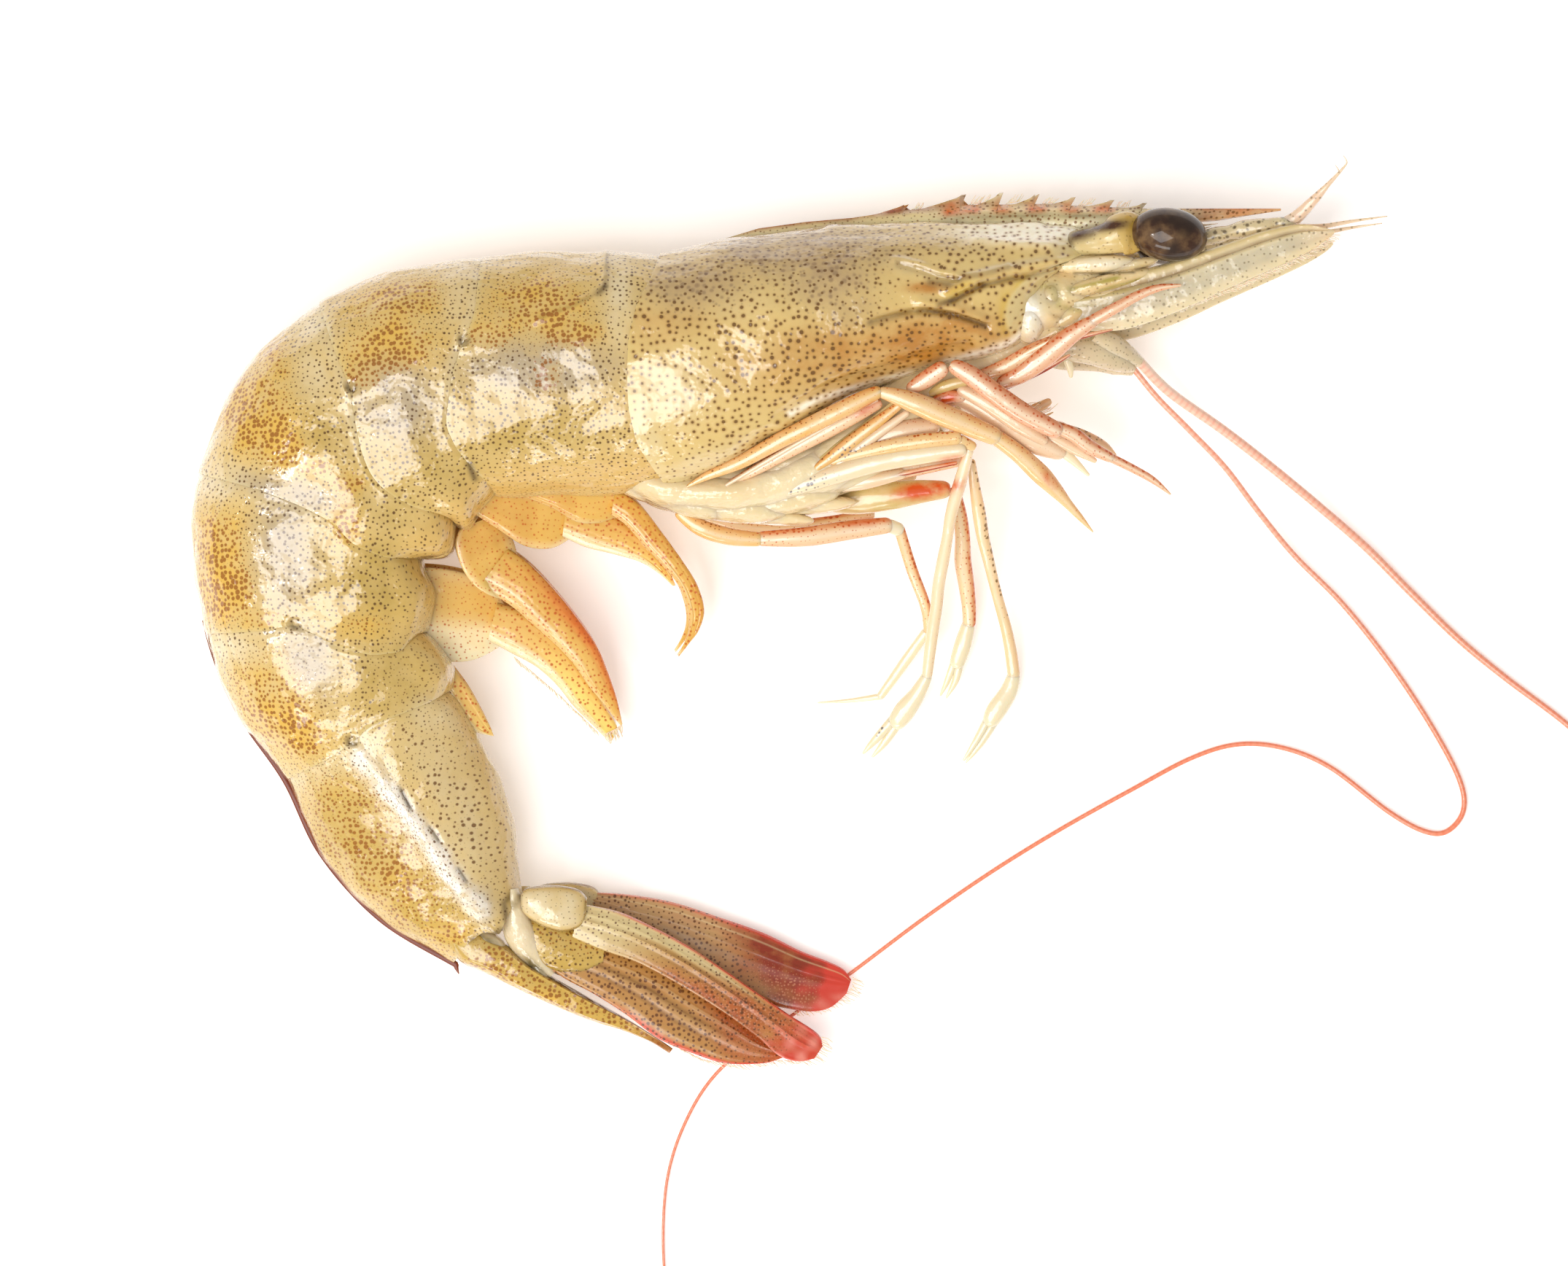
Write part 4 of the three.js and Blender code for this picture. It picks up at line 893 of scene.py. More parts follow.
def crest_ring(x, top, lean):
    """Points round one slice, and their heights as shares of the blade."""
    foot = at(CREST_FOOT, x)
    root = at(CREST_ROOT, x)
    spine = min(max(at(CREST_TOP, x), foot + 0.05), top)
    rise = spine - foot
    blade = min(0.28, 0.1 + 0.12 * rise)
    side = [
        (x, foot, 0.0),
        (x, foot + 0.12 * rise, root * 0.8),
        (x, foot + 0.35 * rise, root),
        (x, foot + 0.6 * rise, max(root * 0.9, blade)),
        (x, foot + 0.82 * rise, max(root * 0.55, blade)),
        (x + lean * 0.3, spine, blade * 0.9),
        (x + lean, top, 0.03),
    ]
    around = side + [(px, py, -pz) for px, py, pz in side[-2:0:-1]]
    heights = [(py - foot) / max(rise, 0.1) for _, py, _ in around]
    return [(px, py, MID_PLANE + pz) for px, py, pz in around], heights


def crest_paint(x, height):
    """Marks of the rostrum."""
    shaft = ramp(x, 43, 47)
    patches = sum(np.exp(-(((x - place) / 0.8) ** 2)) for place in ORANGE_PLACES) * ramp(height, 0.62, 0.8)
    back = ramp(height, 0.75, 0.95) * ramp(x, 2, 8) * (1 - 0.6 * ramp(x, 22, 26))
    seam = np.exp(-(((height - 0.62) / 0.05) ** 2)) * ramp(x, 22, 26) * (1 - ramp(x, 38, 42))
    foot = ramp(height, 0.55, 0.45) * ramp(x, 26, 30) * (1 - shaft)
    return {
        "red": clamp(0.8 * back + 0.3 * shaft),
        "orange": clamp(1.3 * patches * ramp(1.1 - height, 0, 0.2) + 0.4 * shaft),
        "grey": 0.45 * ramp(height, 0.85, 1.1) * ramp(x, 21, 24),
        "rim": 0.8 * ramp(height, 1.12, 1.3) + 0.5 * foot,
        "dark": 0.7 * seam, "dense": 0.6 + 0.4 * ramp(x, 22, 26),
    }


def crest():
    """The toothed blade."""
    slices = crest_slices()
    rounds = [crest_ring(*one) for one in slices]
    height = np.array([heights for _, heights in rounds])
    x = np.array([one[0] for one in slices])[:, None] + 0 * height
    return skin(np.array([ring for ring, _ in rounds]), crest_paint(x, height))


rostrum_shell = chitin(
    "rostrum chitin",
    ("#F2DFA2", "#F8EBC2"),
    [
        ("rim", "#F8EFD4", 0.1), ("red", "#94440E", 0.4), ("grey", "#8A6430", 0.5),
        ("orange", "#D06404", 0.5), ("dark", "#5A4020", 0.3),
    ],
    [(0.5, 0.13, 0.05, "#7A4A08", 0.85, "dense")],
    film=0.5,
)
piece("rostrum", crest(), rostrum_shell, "shell")

# %% [markdown]
# ## Tail fan: leaves
# The telson is a pointed wedge and each blade a thin leaf with a rounded end. A leaf is given by its two
# edges and uses the trunk's skin with an oval section, so its outline is exact and its rim is thin.


# %% Leaves, ribs and stripes
OVAL = (1.0, 1.0)
BLADE_SECTION = (0.75, 0.75)  # fuller than an oval, with a rounder rim


def leaf(table, rows, sides, relief, paint, rounds=OVAL, lean=0.0):
    """A thin leaf between two edges. relief(along, across) and paint(along, across, x, y) follow it.
    The first edge lies lean mm higher than the middle line."""
    angle = np.arange(sides) / sides * 2 * np.pi
    along = (1 - (1 - np.linspace(0, 1, rows)) ** 1.25)[:, None]
    across = np.cos(angle)[None, :] + 0 * along
    station = along * (len(table) - 1) + 0 * across
    lift = relief(along, across) * np.abs(np.sin(angle))
    rings = trunk_points(table, station, angle, lift, rounds)
    rings[..., 2] += lean * across * np.sin(np.pi * np.clip(along, 0, 0.95)) ** 0.5
    marks = paint(along + 0 * across, across, rings[..., 0], rings[..., 1])
    return skin(rings, marks, rolled_out(table, station, angle, rounds))


def ribs(table):
    """Lengthwise ribs (across, width, height) as a relief."""
    return lambda along, across: sum(
        height * np.exp(-(((across - place) / width) ** 2)) * ramp(1.02 - along, 0, 0.25)
        for place, width, height in table
    )


def stripe(across, place, width):
    """1 on a lengthwise line of a leaf."""
    return np.exp(-(((across - place) / width) ** 2))


print("one width from a stripe:", round(stripe(0.1, 0.0, 0.1), 2))

# %% [markdown]
# ## Shapes of the tail fan
# The telson tapers to a point. Each pair of blades grows from a rounded cup and opens like a fan, the
# near ones on top. The far inner blade is the near one moved aside.


# %% Leaves of the fan: edge x, y, other edge x, y, height, half thickness
TELSON = [
    [-16.8, -47, -18.5, -49.3, 4.6, 2.5], [-15.2, -48.2, -17.6, -50.6, 4.6, 2.4],
    [-13.4, -49.2, -15.6, -51.5, 4.5, 2.4], [-11.4, -50.8, -13, -52.8, 4.3, 2.2],
    [-8.8, -52.4, -10, -54.2, 3.9, 1.8], [-6, -54, -7, -55.5, 3.6, 1.4],
    [-3.2, -55.6, -3.8, -56.5, 3.3, 0.8], [-1, -57, -1.4, -57.5, 3.1, 0.45],
    [0.6, -58.1, 0.3, -58.5, 3, 0.12],
]
NEAR_BASE = [
    [-12.4, -44.6, -12.4, -45.8, 6.6, 0.9], [-11.8, -44.1, -11.9, -46.6, 6.8, 1.15],
    [-10.4, -43.9, -10.4, -47.5, 6.9, 1.3], [-8.8, -43.95, -8.8, -47.9, 6.8, 1.25],
    [-7.4, -44.3, -7.4, -47.5, 6.6, 1], [-6.7, -45, -6.8, -46.5, 6.5, 0.7],
]
SECOND_BASE = [
    [-12.2, -46.4, -12.4, -47, 5.7, 0.5], [-11.2, -46.8, -11.9, -48.8, 5.8, 0.7],
    [-9.8, -47.2, -10.7, -50.6, 5.7, 0.75], [-8.2, -47.6, -9, -51.4, 5.5, 0.65],
    [-6.6, -48.2, -7, -51.4, 5.3, 0.5], [-5.2, -49, -5.4, -50.6, 5.2, 0.3],
]
NEAR_OUTER = [
    [-7.2, -45.5, -8, -48.4, 6.2, 0.7], [-4, -46.2, -5.4, -49.5, 6, 0.7],
    [-1, -47.55, -2.6, -50.5, 5.7, 0.65], [2, -49.2, 0.3, -52, 5.4, 0.62],
    [5, -51.2, 3, -53.6, 5.1, 0.58], [8, -53.3, 5.6, -55.3, 4.8, 0.52],
    [10.6, -55.1, 8, -57.1, 4.5, 0.46], [12.5, -56.3, 9.7, -58.6, 4.3, 0.38],
    [13.3, -57, 11.4, -59.15, 4.2, 0.3], [13.55, -57.8, 12.8, -58.9, 4.1, 0.18],
]
NEAR_INNER = [
    [-9.6, -47.6, -11.4, -50, 5.2, 0.7], [-6.6, -48.6, -8.8, -51.9, 4.9, 0.65],
    [-3.4, -49.8, -6.2, -53.3, 4.6, 0.62], [0, -51.2, -3.4, -55.1, 4.2, 0.58],
    [3.4, -53.2, -0.6, -57.2, 3.9, 0.54], [6.4, -55.2, 2.4, -58.5, 3.6, 0.5],
    [8.8, -57, 5.2, -59.35, 3.4, 0.42], [10.2, -58, 8.4, -59.35, 3.3, 0.3],
    [10.6, -58.5, 10, -58.9, 3.2, 0.15],
]
FAR_OUTER = [
    [-6.6, -44.6, -6.6, -46.6, 2.7, 0.7], [-3.4, -44.8, -4, -48.8, 2.5, 0.66],
    [0.6, -45.5, -0.6, -50.6, 2.3, 0.62], [4.6, -46.8, 3, -52.4, 2.1, 0.58],
    [8.4, -48.15, 6.6, -54, 1.9, 0.52], [11.6, -49.7, 10, -54.6, 1.8, 0.44],
    [13.9, -50.6, 12.4, -54.95, 1.7, 0.36], [15.3, -51.3, 14.2, -54.6, 1.6, 0.26],
    [16, -52.2, 15.6, -53.4, 1.6, 0.14],
]


def moved(table, dx, dy, height):
    """The same leaf moved and set at another height."""
    return [[a + dx, b + dy, c + dx, d + dy, height, h] for a, b, c, d, _, h in table]


FAR_INNER = moved(NEAR_INNER, 0.5, 1.2, 1.7)
print("rows of the near blade:", len(NEAR_OUTER))

# %% [markdown]
# ## Telson and blade bases
# The telson is tan-brown with a dark line. The cups are cream with a brown hem, where pigment gathers.
# All are the same thick shell as the rings, so they share its finish.


# %% Telson and bases
def telson_paint(along, across, x, y):
    """Tan-brown, freckled, with a dark line along its upper side."""
    upper_line = ramp(across, 0.55, 0.85) * ramp(along, 0.2, 0.4)
    return {
        "amber": 0.2 + 0.35 * ramp(along, 0.1, 0.5), "olive": 1.0, "red": 0.7 * ramp(along, 0.72, 0.95),
        "dark": 0.75 * upper_line + 0.3 * ramp(-across, 0.85, 1.0),
        "dense": 0.3,
        "packed": 0.9 * ramp(along, 0.02, 0.2) * ramp(0.9 - across, 0, 0.4),
    }


def cup_paint(along, across, x, y):
    """The rounded base piece: cream with a brown hem."""
    hem = np.maximum(stripe(np.abs(across), 0.94, 0.07), stripe(along, 0.95, 0.04))
    return {
        "amber": 0.5 * hem,
        "pale": 0.8 * ramp(0.85 - np.abs(across), 0, 0.3) * ramp(0.95 - along, 0, 0.3),
        "olive": 0.3 * hem,
        "red": 0.4 * ramp(across, 0.86, 0.98) * ramp(along, 0.4, 0.7),
        "dark": 0.6 * hem + 0.35 * ramp(0.1 - along, 0, 0.06),
        "dense": 0.35, "packed": 0.6 * hem,
    }


def second_paint(along, across, x, y):
    """The flatter base piece: olive with dark freckles."""
    hem = stripe(-across, 0.9, 0.12)
    return {
        "amber": 0.2 + 0.5 * hem, "olive": 0.9, "dark": 0.4 * hem, "dense": 0.9,
        "packed": 0.7 * ramp(across, -0.6, 0.4),
    }


FAR_BASE = (1.1, 0.15, -4.2)  # how the far base lies from the near one, mm
telson_ribs = ribs([(0.55, 0.12, 0.2), (-0.5, 0.1, 0.1)])
made = leaf(TELSON, 70, 48, telson_ribs, telson_paint, BLADE_SECTION)
piece("telson", made, abdomen_shell, "shell", "telson")
cup = leaf(NEAR_BASE, 50, 48, ribs([]), cup_paint, BLADE_SECTION)
second = leaf(SECOND_BASE, 50, 48, ribs([]), second_paint)
base = together(cup, second)
piece("blade_base_near", base, abdomen_shell, "shell", "uropod_base_right")
piece("blade_base_far", shifted(base, FAR_BASE), abdomen_shell, "shell", "uropod_base_left")

# %% [markdown]
# ## Paint of the tail blades
# Each blade goes from cream or olive at its root to bright red at its end, with dark lines along its
# ribs. The near outer one has a red leading edge, and the far one a maroon field, with its root half
# painted lighter against the shade of the near blades over it.


# %% Paint of the tail blades
def outer_paint(along, across, x, y):
    """Near outer blade: cream root, russet, pink-red end and leading edge."""
    end = ramp(along + 0.02 * np.sin(y * 5.0), 0.62, 0.84)
    redden = ramp(along - 0.2 * across, 0.26, 0.6)
    root = ramp(across, 0.15, 0.45) * ramp(0.62 - along, 0, 0.3) + 0.8 * ramp(0.32 - along, 0, 0.22)
    streaks = stripe(across, 0.18, 0.06) + stripe(across, -0.1, 0.05)
    bright = stripe(across, 0.62, 0.05) * ramp(along, 0.2, 0.4) + 0.6 * stripe(across, -0.86, 0.07)
    leading = ramp(across, 0.74, 0.86) * ramp(along, 0.06, 0.16)
    dapple = end * (0.3 + 0.6 * np.sin(x * 3.1) * np.sin(y * 2.7))
    return {
        "cream": clamp(root), "russet": 0.9 * redden,
        "maroon": 0.45 * redden * ramp(-across, 0.3, 0.8) * ramp(0.85 - along, 0, 0.2),
        "stripe": 0.4 * streaks * ramp(along, 0.2, 0.4) * ramp(0.8 - along, 0, 0.3),
        "line": 0.7 * bright * ramp(0.66 - along, 0, 0.2),
        "scarlet": clamp(0.9 * leading + 0.85 * end),
        "blush": clamp(dapple + 0.4 * ramp(across, 0.9, 0.98)),
        "dense": (1 - end) * (0.55 + 0.4 * redden), "fleck": 0.8 * redden * (1 - end),
    }


def inner_paint(along, across, x, y):
    """Inner blade: olive-tan, dark lines, red-brown end, red lower rim."""
    end = ramp(along + 0.15 * across, 0.5, 0.8)
    streaks = stripe(across, 0.08, 0.05) + stripe(across, -0.16, 0.04)
    bright = stripe(across, -0.03, 0.03) + stripe(across, 0.3, 0.03)
    lower_rim = ramp(-across, 0.66, 0.9) * ramp(along, 0.25, 0.45)
    return {
        "cream": 0.6 * ramp(0.14 - along, 0, 0.12), "russet": 0.2 + 0.8 * end,
        "maroon": 0.5 * end * ramp(across, -0.2, 0.5),
        "stripe": 0.65 * streaks * ramp(0.75 - along, 0, 0.25) * ramp(along, 0.08, 0.2),
        "line": 0.35 * bright * ramp(0.9 - along, 0, 0.2),
        "scarlet": 0.85 * lower_rim + 0.3 * ramp(along, 0.8, 1.0),
        "blush": 0.7 * ramp(-across, 0.93, 0.99), "dense": 1.0 - 0.4 * end, "fleck": 0.5 * end,
    }


def far_paint(along, across, x, y):
    """Far outer blade: olive-brown, maroon field, bright red end and edge."""
    end = ramp(along + 0.03 * np.sin(y * 4.0) + 0.03 * np.sin(x * 2.6 - y), 0.64, 0.82)
    field = ramp(along + 0.1 * across, 0.42, 0.60)
    streaks = stripe(across, 0.3, 0.06) + stripe(across, 0.05, 0.06)
    vein = 0.2 * stripe(across, 0.55, 0.1) * ramp(along, 0.1, 0.3)
    dapple = 0.5 * end * ramp(-across, 0.0, 0.5) * (0.6 + 0.4 * np.sin(x * 2.7 + y * 3.3))
    return {
        "cream": 0.35 * ramp(0.56 - along, 0, 0.2), "russet": 0.5 + 0.3 * field,
        "maroon": clamp(field * (0.75 + 0.6 * stripe(across, 0.25, 0.4)) + vein),
        "stripe": 0.3 * streaks * ramp(along, 0.15, 0.3) * ramp(0.6 - along, 0, 0.2),
        # line: a pale line, and the root half painted lighter to offset the shade of the near blades:
        # painted light.
        "line": 0.4 * stripe(across, 0.66, 0.03) + 0.2 * ramp(0.5 - along, 0, 0.2),
        "scarlet": clamp(0.9 * ramp(across, 0.78, 0.9) + end),
        "blush": clamp(dapple + 0.5 * ramp(across, 0.96, 1.0)),
        "dense": (1 - end) * (0.8 - 0.6 * field),
        "fleck": field * ramp(0.3 - across, 0, 0.4) * (1 - end),
    }


print("red at the end of a blade:", outer_paint(1.0, 0.0, 0.0, 0.0)["scarlet"])

# %% [markdown]
# ## Finish of the tail blades
# A blade is two sheets of chitin with almost nothing between them, soaked with red pigment. Little light
# goes in, so it looks stained through, leathery and less like a mirror.

# %% Four tail blades
tail_blade = chitin(
    "stained tail blade chitin",
    ("#B88A48", "#C49A58"),
    [
        ("cream", "#D6C08A", 0.3), ("russet", "#B4602A", 0.5), ("maroon", "#8C2C0C", 0.45),
        ("stripe", "#62400F", 0.3), ("scarlet", "#D03C28", 0.25), ("blush", "#E08470", 0.5),
        ("line", "#E6D09E", 0.2),
    ],
    [
        (0.46, 0.14, 0.045, "#5E3006", 0.88, "dense"),
        (0.30, 0.09, 0.05, "#D69068", 0.6, "fleck"),
    ],
    gloss=0.26,
    soft_share=0.2,
    depth_mm=0.6,
    dimple=0.07,
    film=0.5,
)
NEAR_RIBS = [(0.84, 0.07, 0.22), (0.05, 0.04, 0.14), (0.4, 0.05, 0.06), (-0.86, 0.08, 0.18)]
INNER_RIBS = [(0.3, 0.03, 0.1), (-0.03, 0.03, 0.14), (-0.6, 0.2, 0.06)]
FAR_RIBS = [(0.88, 0.06, 0.16), (0.3, 0.04, 0.1), (0.1, 0.04, 0.08)]
LAST_RIBS = [(0.3, 0.04, 0.14)]
BLADES = [
    ("outer_blade_near", NEAR_OUTER, outer_paint, NEAR_RIBS, "uropod_outer_right"),
    ("inner_blade_near", NEAR_INNER, inner_paint, INNER_RIBS, "uropod_inner_right"),
    ("outer_blade_far", FAR_OUTER, far_paint, FAR_RIBS, "uropod_outer_left"),
    ("inner_blade_far", FAR_INNER, inner_paint, LAST_RIBS, "uropod_inner_left"),
]
for name, table, paint, rib_table, node in BLADES:
    made = leaf(table, 130, 96, ribs(rib_table), paint, BLADE_SECTION, lean=-0.4)
    piece(name, made, tail_blade, "tail_blade", node)

# %% [markdown]
# ## Sweeps: flesh, stalks, whiskers
# Everything round and bent is a sweep: ovals strung along a spine. A lump is a sweep whose ovals grow and
# shrink like the slices of a ball.


# %% Sweeps and lobes
def swept(rows, count, sides, relief=None, paint=None, even=True):
    """A sweep through rows (x, y, z, half width, half thickness), on a curve or, if not even, straight."""
    t = np.linspace(0, 1, count)
    if even:
        spine = row_at(rows, t)
    else:
        knots = np.linspace(0, 1, len(rows))
        spine = np.array([np.interp(t, knots, column) for column in np.array(rows, float).T]).T
    spine[:, 3:5] = np.maximum(spine[:, 3:5], 0.03)
    tangent = np.gradient(spine[:, :3], axis=0)
    tangent /= np.linalg.norm(tangent, axis=1)[:, None]
    across = np.stack([-tangent[:, 1], tangent[:, 0], 0 * t], -1)
    across /= np.linalg.norm(across, axis=1)[:, None]
    lift = np.cross(tangent, across)
    angle = (np.arange(sides) / sides * 2 * np.pi)[None, :]
    along = t[:, None] + 0 * angle
    side = np.cos(angle) + 0 * along
    extra = relief(along, side, np.sin(angle) + 0 * along) if relief else 0
    wide = (np.cos(angle) * (spine[:, 3:4] + extra))[..., None] * across[:, None, :]
    tall = (np.sin(angle) * (spine[:, 4:5] + extra))[..., None] * lift[:, None, :]
    rings = spine[:, None, :3] + wide + tall
    marks = paint(along, side, rings[..., 0], rings[..., 1]) if paint else {}
    return skin(rings, marks)


def lobe(centre, radii, tilt=0, relief=None, paint=None):
    """An oval ball with its long axis turned by tilt degrees in the table's plane."""
    a = np.radians(tilt)
    way = np.array([np.cos(a), np.sin(a), 0])
    rows = []
    for place in np.sin(np.linspace(-np.pi / 2, np.pi / 2, 40)):
        girth = np.sqrt(max(1 - place * place, 0.001))
        rows.append([*(np.array(centre) + way * radii[0] * place), radii[1] * girth, radii[2] * girth])
    return swept(rows, 40, 40, relief, paint, even=False)


def mirrored(rows, dx, dy):
    """The same rows on the side next to the table."""
    return [[x + dx, y + dy, 2 * MID_PLANE - z, *sizes] for x, y, z, *sizes in rows]


def even_paint(**values):
    """Marks with the same value all over."""
    return lambda along, across, x, y: values


print("points of a lobe:", len(lobe((0, 0, 0), (1, 1, 1))[0]))

# %% [markdown]
# ## Keel
# A thin keel runs along the back of the last rings and ends in a small spine: a narrow sweep on the back
# line. Its chitin is thick and full of pigment, so it is opaque red-brown and dull, without a film.

# %% Keel and its spine
KEEL_COUNT = 60
back_line = row_at(ABDOMEN, np.linspace(0.59, 0.938, KEEL_COUNT))
keel_width = 0.27 * ramp(np.linspace(0, 1, KEEL_COUNT), -0.1, 0.5)
keel = np.column_stack([back_line[:, 0:2], back_line[:, 4], keel_width, 0.5 * keel_width]).tolist()
keel += [[-18.0, -51.1, 4.6, 0.18, 0.08], [-17.8, -51.6, 4.6, 0.04, 0.03]]
KEEL_BROWNS = ("#6A2406", "#83360E")
keel_look = {"gloss": 0.4, "soft_share": 0.1, "dimple": 0.1, "film": 0.0}
keel_finish = chitin("red-brown keel chitin", KEEL_BROWNS, [], [], **keel_look)
piece("tail_keel", swept(keel, 120, 16), keel_finish, "shell")

# %% [markdown]
# ## Flesh and soft walls
# Raw flesh shows under the shell's edges. Uncooked muscle is almost clear, so light goes further in than
# in the shell. The closer, deeper dimples are wet skin. The belly is one long creased sweep with folds
# that the legs spring from, and the joint of the fan bulges out, glassy, with painted shade in its hollows.

# %% Flesh, belly and tail joint
flesh = chitin(
    "wet raw flesh",
    ("#E8CC96", "#F2DEB2"),
    [
        ("amber", "#DDB060", 0.3), ("clear", "#F6EAD0", 0.3), ("green", "#B4A250", 0.5),
        ("dark", "#7E6E48", 0.4),
    ],
    [(0.8, 0.16, 0.08, "#7E5C24", 0.7, "dense")],
    gloss=0.14,
    depth_mm=1.4,
    dimple_mm=1.4,
    dimple=0.5,
)

THORAX = [
    [-4.8, -8.1, 8.3, 0.3, 1], [-3.6, -8.7, 8.3, 1.2, 3], [-1, -9.6, 8.3, 1.7, 4.2],
    [2, -10.2, 8.3, 1.9, 4.4], [6, -10.1, 8.3, 2, 4.4], [11, -8.9, 8.2, 2.5, 4.2],
    [16, -6.8, 8.1, 3, 3.8], [22, -2.6, 8.1, 3.2, 3.4], [28, 1, 8.1, 2.6, 2.8], [33, 3, 8.2, 1.5, 1.6],
]
# Folds that the legs spring from: x, y, z, half length, half width, half thickness, tilt.
COXAE = [
    (-2.6, -8.9, 9.4, 3.4, 1.7, 2.2, -30), (1.4, -10.4, 9.6, 4.4, 1.7, 2.3, -20),
    (5.6, -11.3, 9.2, 5, 1.5, 2.1, -6), (5.4, -9.4, 9.8, 4.6, 1.6, 2.2, 8),
    (9.8, -8.4, 10, 5.2, 1.6, 2.1, 26), (10.6, -10.7, 9.2, 4.6, 1.4, 2, 10),
    (15, -6.4, 10.2, 5.2, 1.6, 2, 34), (15.6, -8.8, 9.2, 4.4, 1.3, 1.9, 18),
    (20, -4, 10.2, 4.4, 1.5, 1.8, 36), (7.6, -12.1, 8.2, 5.2, 0.8, 1.5, -6),
    (12.4, -11.3, 8.2, 4, 0.8, 1.5, 4), (20.6, -6.4, 9.4, 3.6, 1.2, 1.6, 20),
]


def folds(along, across, up):
    """Creases across the soft belly wall."""
    return 0.07 * np.sin(along * 34.0 + across * 1.6) + 0.03 * np.sin(along * 71.0 - across * 3.0)


soft = even_paint(amber=0.05, clear=0.2)
parts = [swept(THORAX, 160, 48, folds, soft)]
for x, y, z, long, wide, thick, tilt in COXAE:
    parts.append(lobe((x, y, z), (long, wide, thick), tilt, None, soft))
piece("belly_flesh", together(*parts), flesh, "membrane", "thorax")

JOINT_FLESH = [
    [-13.1, -44.2, 6.2, 0.5, 0.8], [-13, -46, 6.1, 1, 1.2], [-12.5, -48, 5.8, 1.4, 1.3],
    [-11.3, -50, 5.3, 1.1, 1], [-9.8, -51.6, 4.9, 0.4, 0.6],
]
JOINT_LOBES = [((-15.4, -48.6, 5.6), (1.8, 0.8, 1.2), -25), ((-11.2, -50.9, 5.1), (1.7, 0.5, 0.8), -50)]
# Painted shade in the hollows of the joint: x, y, half length, half width, tilt, strength.
JOINT_PAINTED_SHADE = [
    (-15.4, -48.7, 1.2, 0.5, -20, 0.8), (-11.2, -51.0, 1.4, 0.4, -50, 0.8),
    (-12.9, -45.4, 0.7, 0.4, 60, 0.6),
]
FAN_PLANE = 4.6  # height of the fan's middle


def joint_paint(along, across, x, y):
    """Glassy, with painted shade in its hollows."""
    hollow_shade = ovals(x, y, JOINT_PAINTED_SHADE)
    return {"clear": 0.4 * (1 - hollow_shade), "dark": clamp(0.14 + hollow_shade), "dense": 0.1}


far_joint = [[x + 0.9, y + 0.1, 2 * FAN_PLANE - z - 0.4, *sizes] for x, y, z, *sizes in JOINT_FLESH]
parts = [swept(rows, 60, 40, None, joint_paint) for rows in (JOINT_FLESH, far_joint)]
parts += [lobe(centre, radii, tilt, None, joint_paint) for centre, radii, tilt in JOINT_LOBES]
piece("tail_joint_flesh", together(*parts), flesh, "membrane")

# %% [markdown]
# ## Head flesh
# Behind and under the eye sit glassy lobes: lumps round a short core. Their green-yellow lights and thin
# dark seams are lines painted across all of them.


# %% Lobes of the head
HEAD = [
    [27.5, 5.4, 8.3, 2.6, 4.2], [31.5, 5.6, 8.3, 3.1, 4.3], [35, 7, 8.3, 3.1, 3.7],
    [38, 8.4, 8.3, 2.2, 2.6], [40.8, 9.5, 8.3, 0.9, 1.2],
]
GREEN_LINES = [
    (0.22, 0.9, [(34.5, 7), (36.6, 7.5), (38.6, 8)]), (0.16, 0.7, [(37, 6.9), (39.5, 7.6), (42, 8.3)]),
    (0.4, 0.6, [(32.2, 7.3), (33.2, 7.2), (33.4, 6.2)]),
    (0.25, 0.5, [(33.6, 5.6), (35.4, 5.2), (36.6, 5.4)]),
]
INK_LINES = [
    (0.12, 0.8, [(35, 8.45), (37.2, 8.4), (40, 8.5)]), (0.14, 0.6, [(32, 9), (34.6, 9.7), (38, 10.05)]),
    (0.12, 0.7, [(40.2, 8.7), (42.6, 9.2)]), (0.18, 0.5, [(33, 4.8), (33.8, 4.6)]),
]
HEAD_CLEAR = [(31.2, 4.8, 1.2, 2.4, 0, 0.9), (37.0, 9.2, 2.6, 0.6, 4, 0.6)]
# Middle, half sizes and tilt of each lobe.
HEAD_LOBES = [
    ((31.2, 4.9, 10.5), (2.5, 1.6, 2.1), 82), ((33, 6.5, 10.9), (1.6, 1.3, 1.5), 60),
    ((34.7, 4.9, 10.3), (2.6, 1.2, 1.7), 28), ((33.4, 3.5, 10), (2.6, 1, 1.6), 30),
    ((36.8, 9.2, 11.3), (3.7, 0.85, 1), 3), ((39.6, 9.1, 11.2), (2.6, 0.55, 0.8), 12),
    ((37.6, 7.6, 11.5), (4.4, 0.75, 1), 14), ((37, 6.3, 11), (3.8, 0.7, 1), 18),
]


def head_flesh_paint(along, across, x, y):
    """Marks of the head's glassy flesh."""
    return {
        "amber": 0.15, "clear": ovals(x, y, HEAD_CLEAR),
        "green": clamp(lines(x, y, GREEN_LINES)),
        "dark": clamp(lines(x, y, INK_LINES)),
        "dense": 0.5,
    }


def head_creases(along, across, up):
    """Soft creases round the core."""
    return 0.12 * np.sin(along * 30 + across * 4)


far_lobes = [((x, y, 2 * MID_PLANE - z), radii, tilt) for (x, y, z), radii, tilt in HEAD_LOBES]
parts = [swept(HEAD, 90, 56, head_creases, head_flesh_paint)]
for centre, radii, tilt in HEAD_LOBES + far_lobes:
    parts.append(lobe(centre, radii, tilt, None, head_flesh_paint))
piece("head_flesh", together(*parts), flesh, "head_flesh", "head")

# %% [markdown]
# ## Cornea
# The eye is a bundle of tiny lenses under one wet cornea. They are too fine to see and read as dark brown
# mottled horn: lumps of about 0.9 mm, blotches of about 3 mm. Most of its shine is the water.

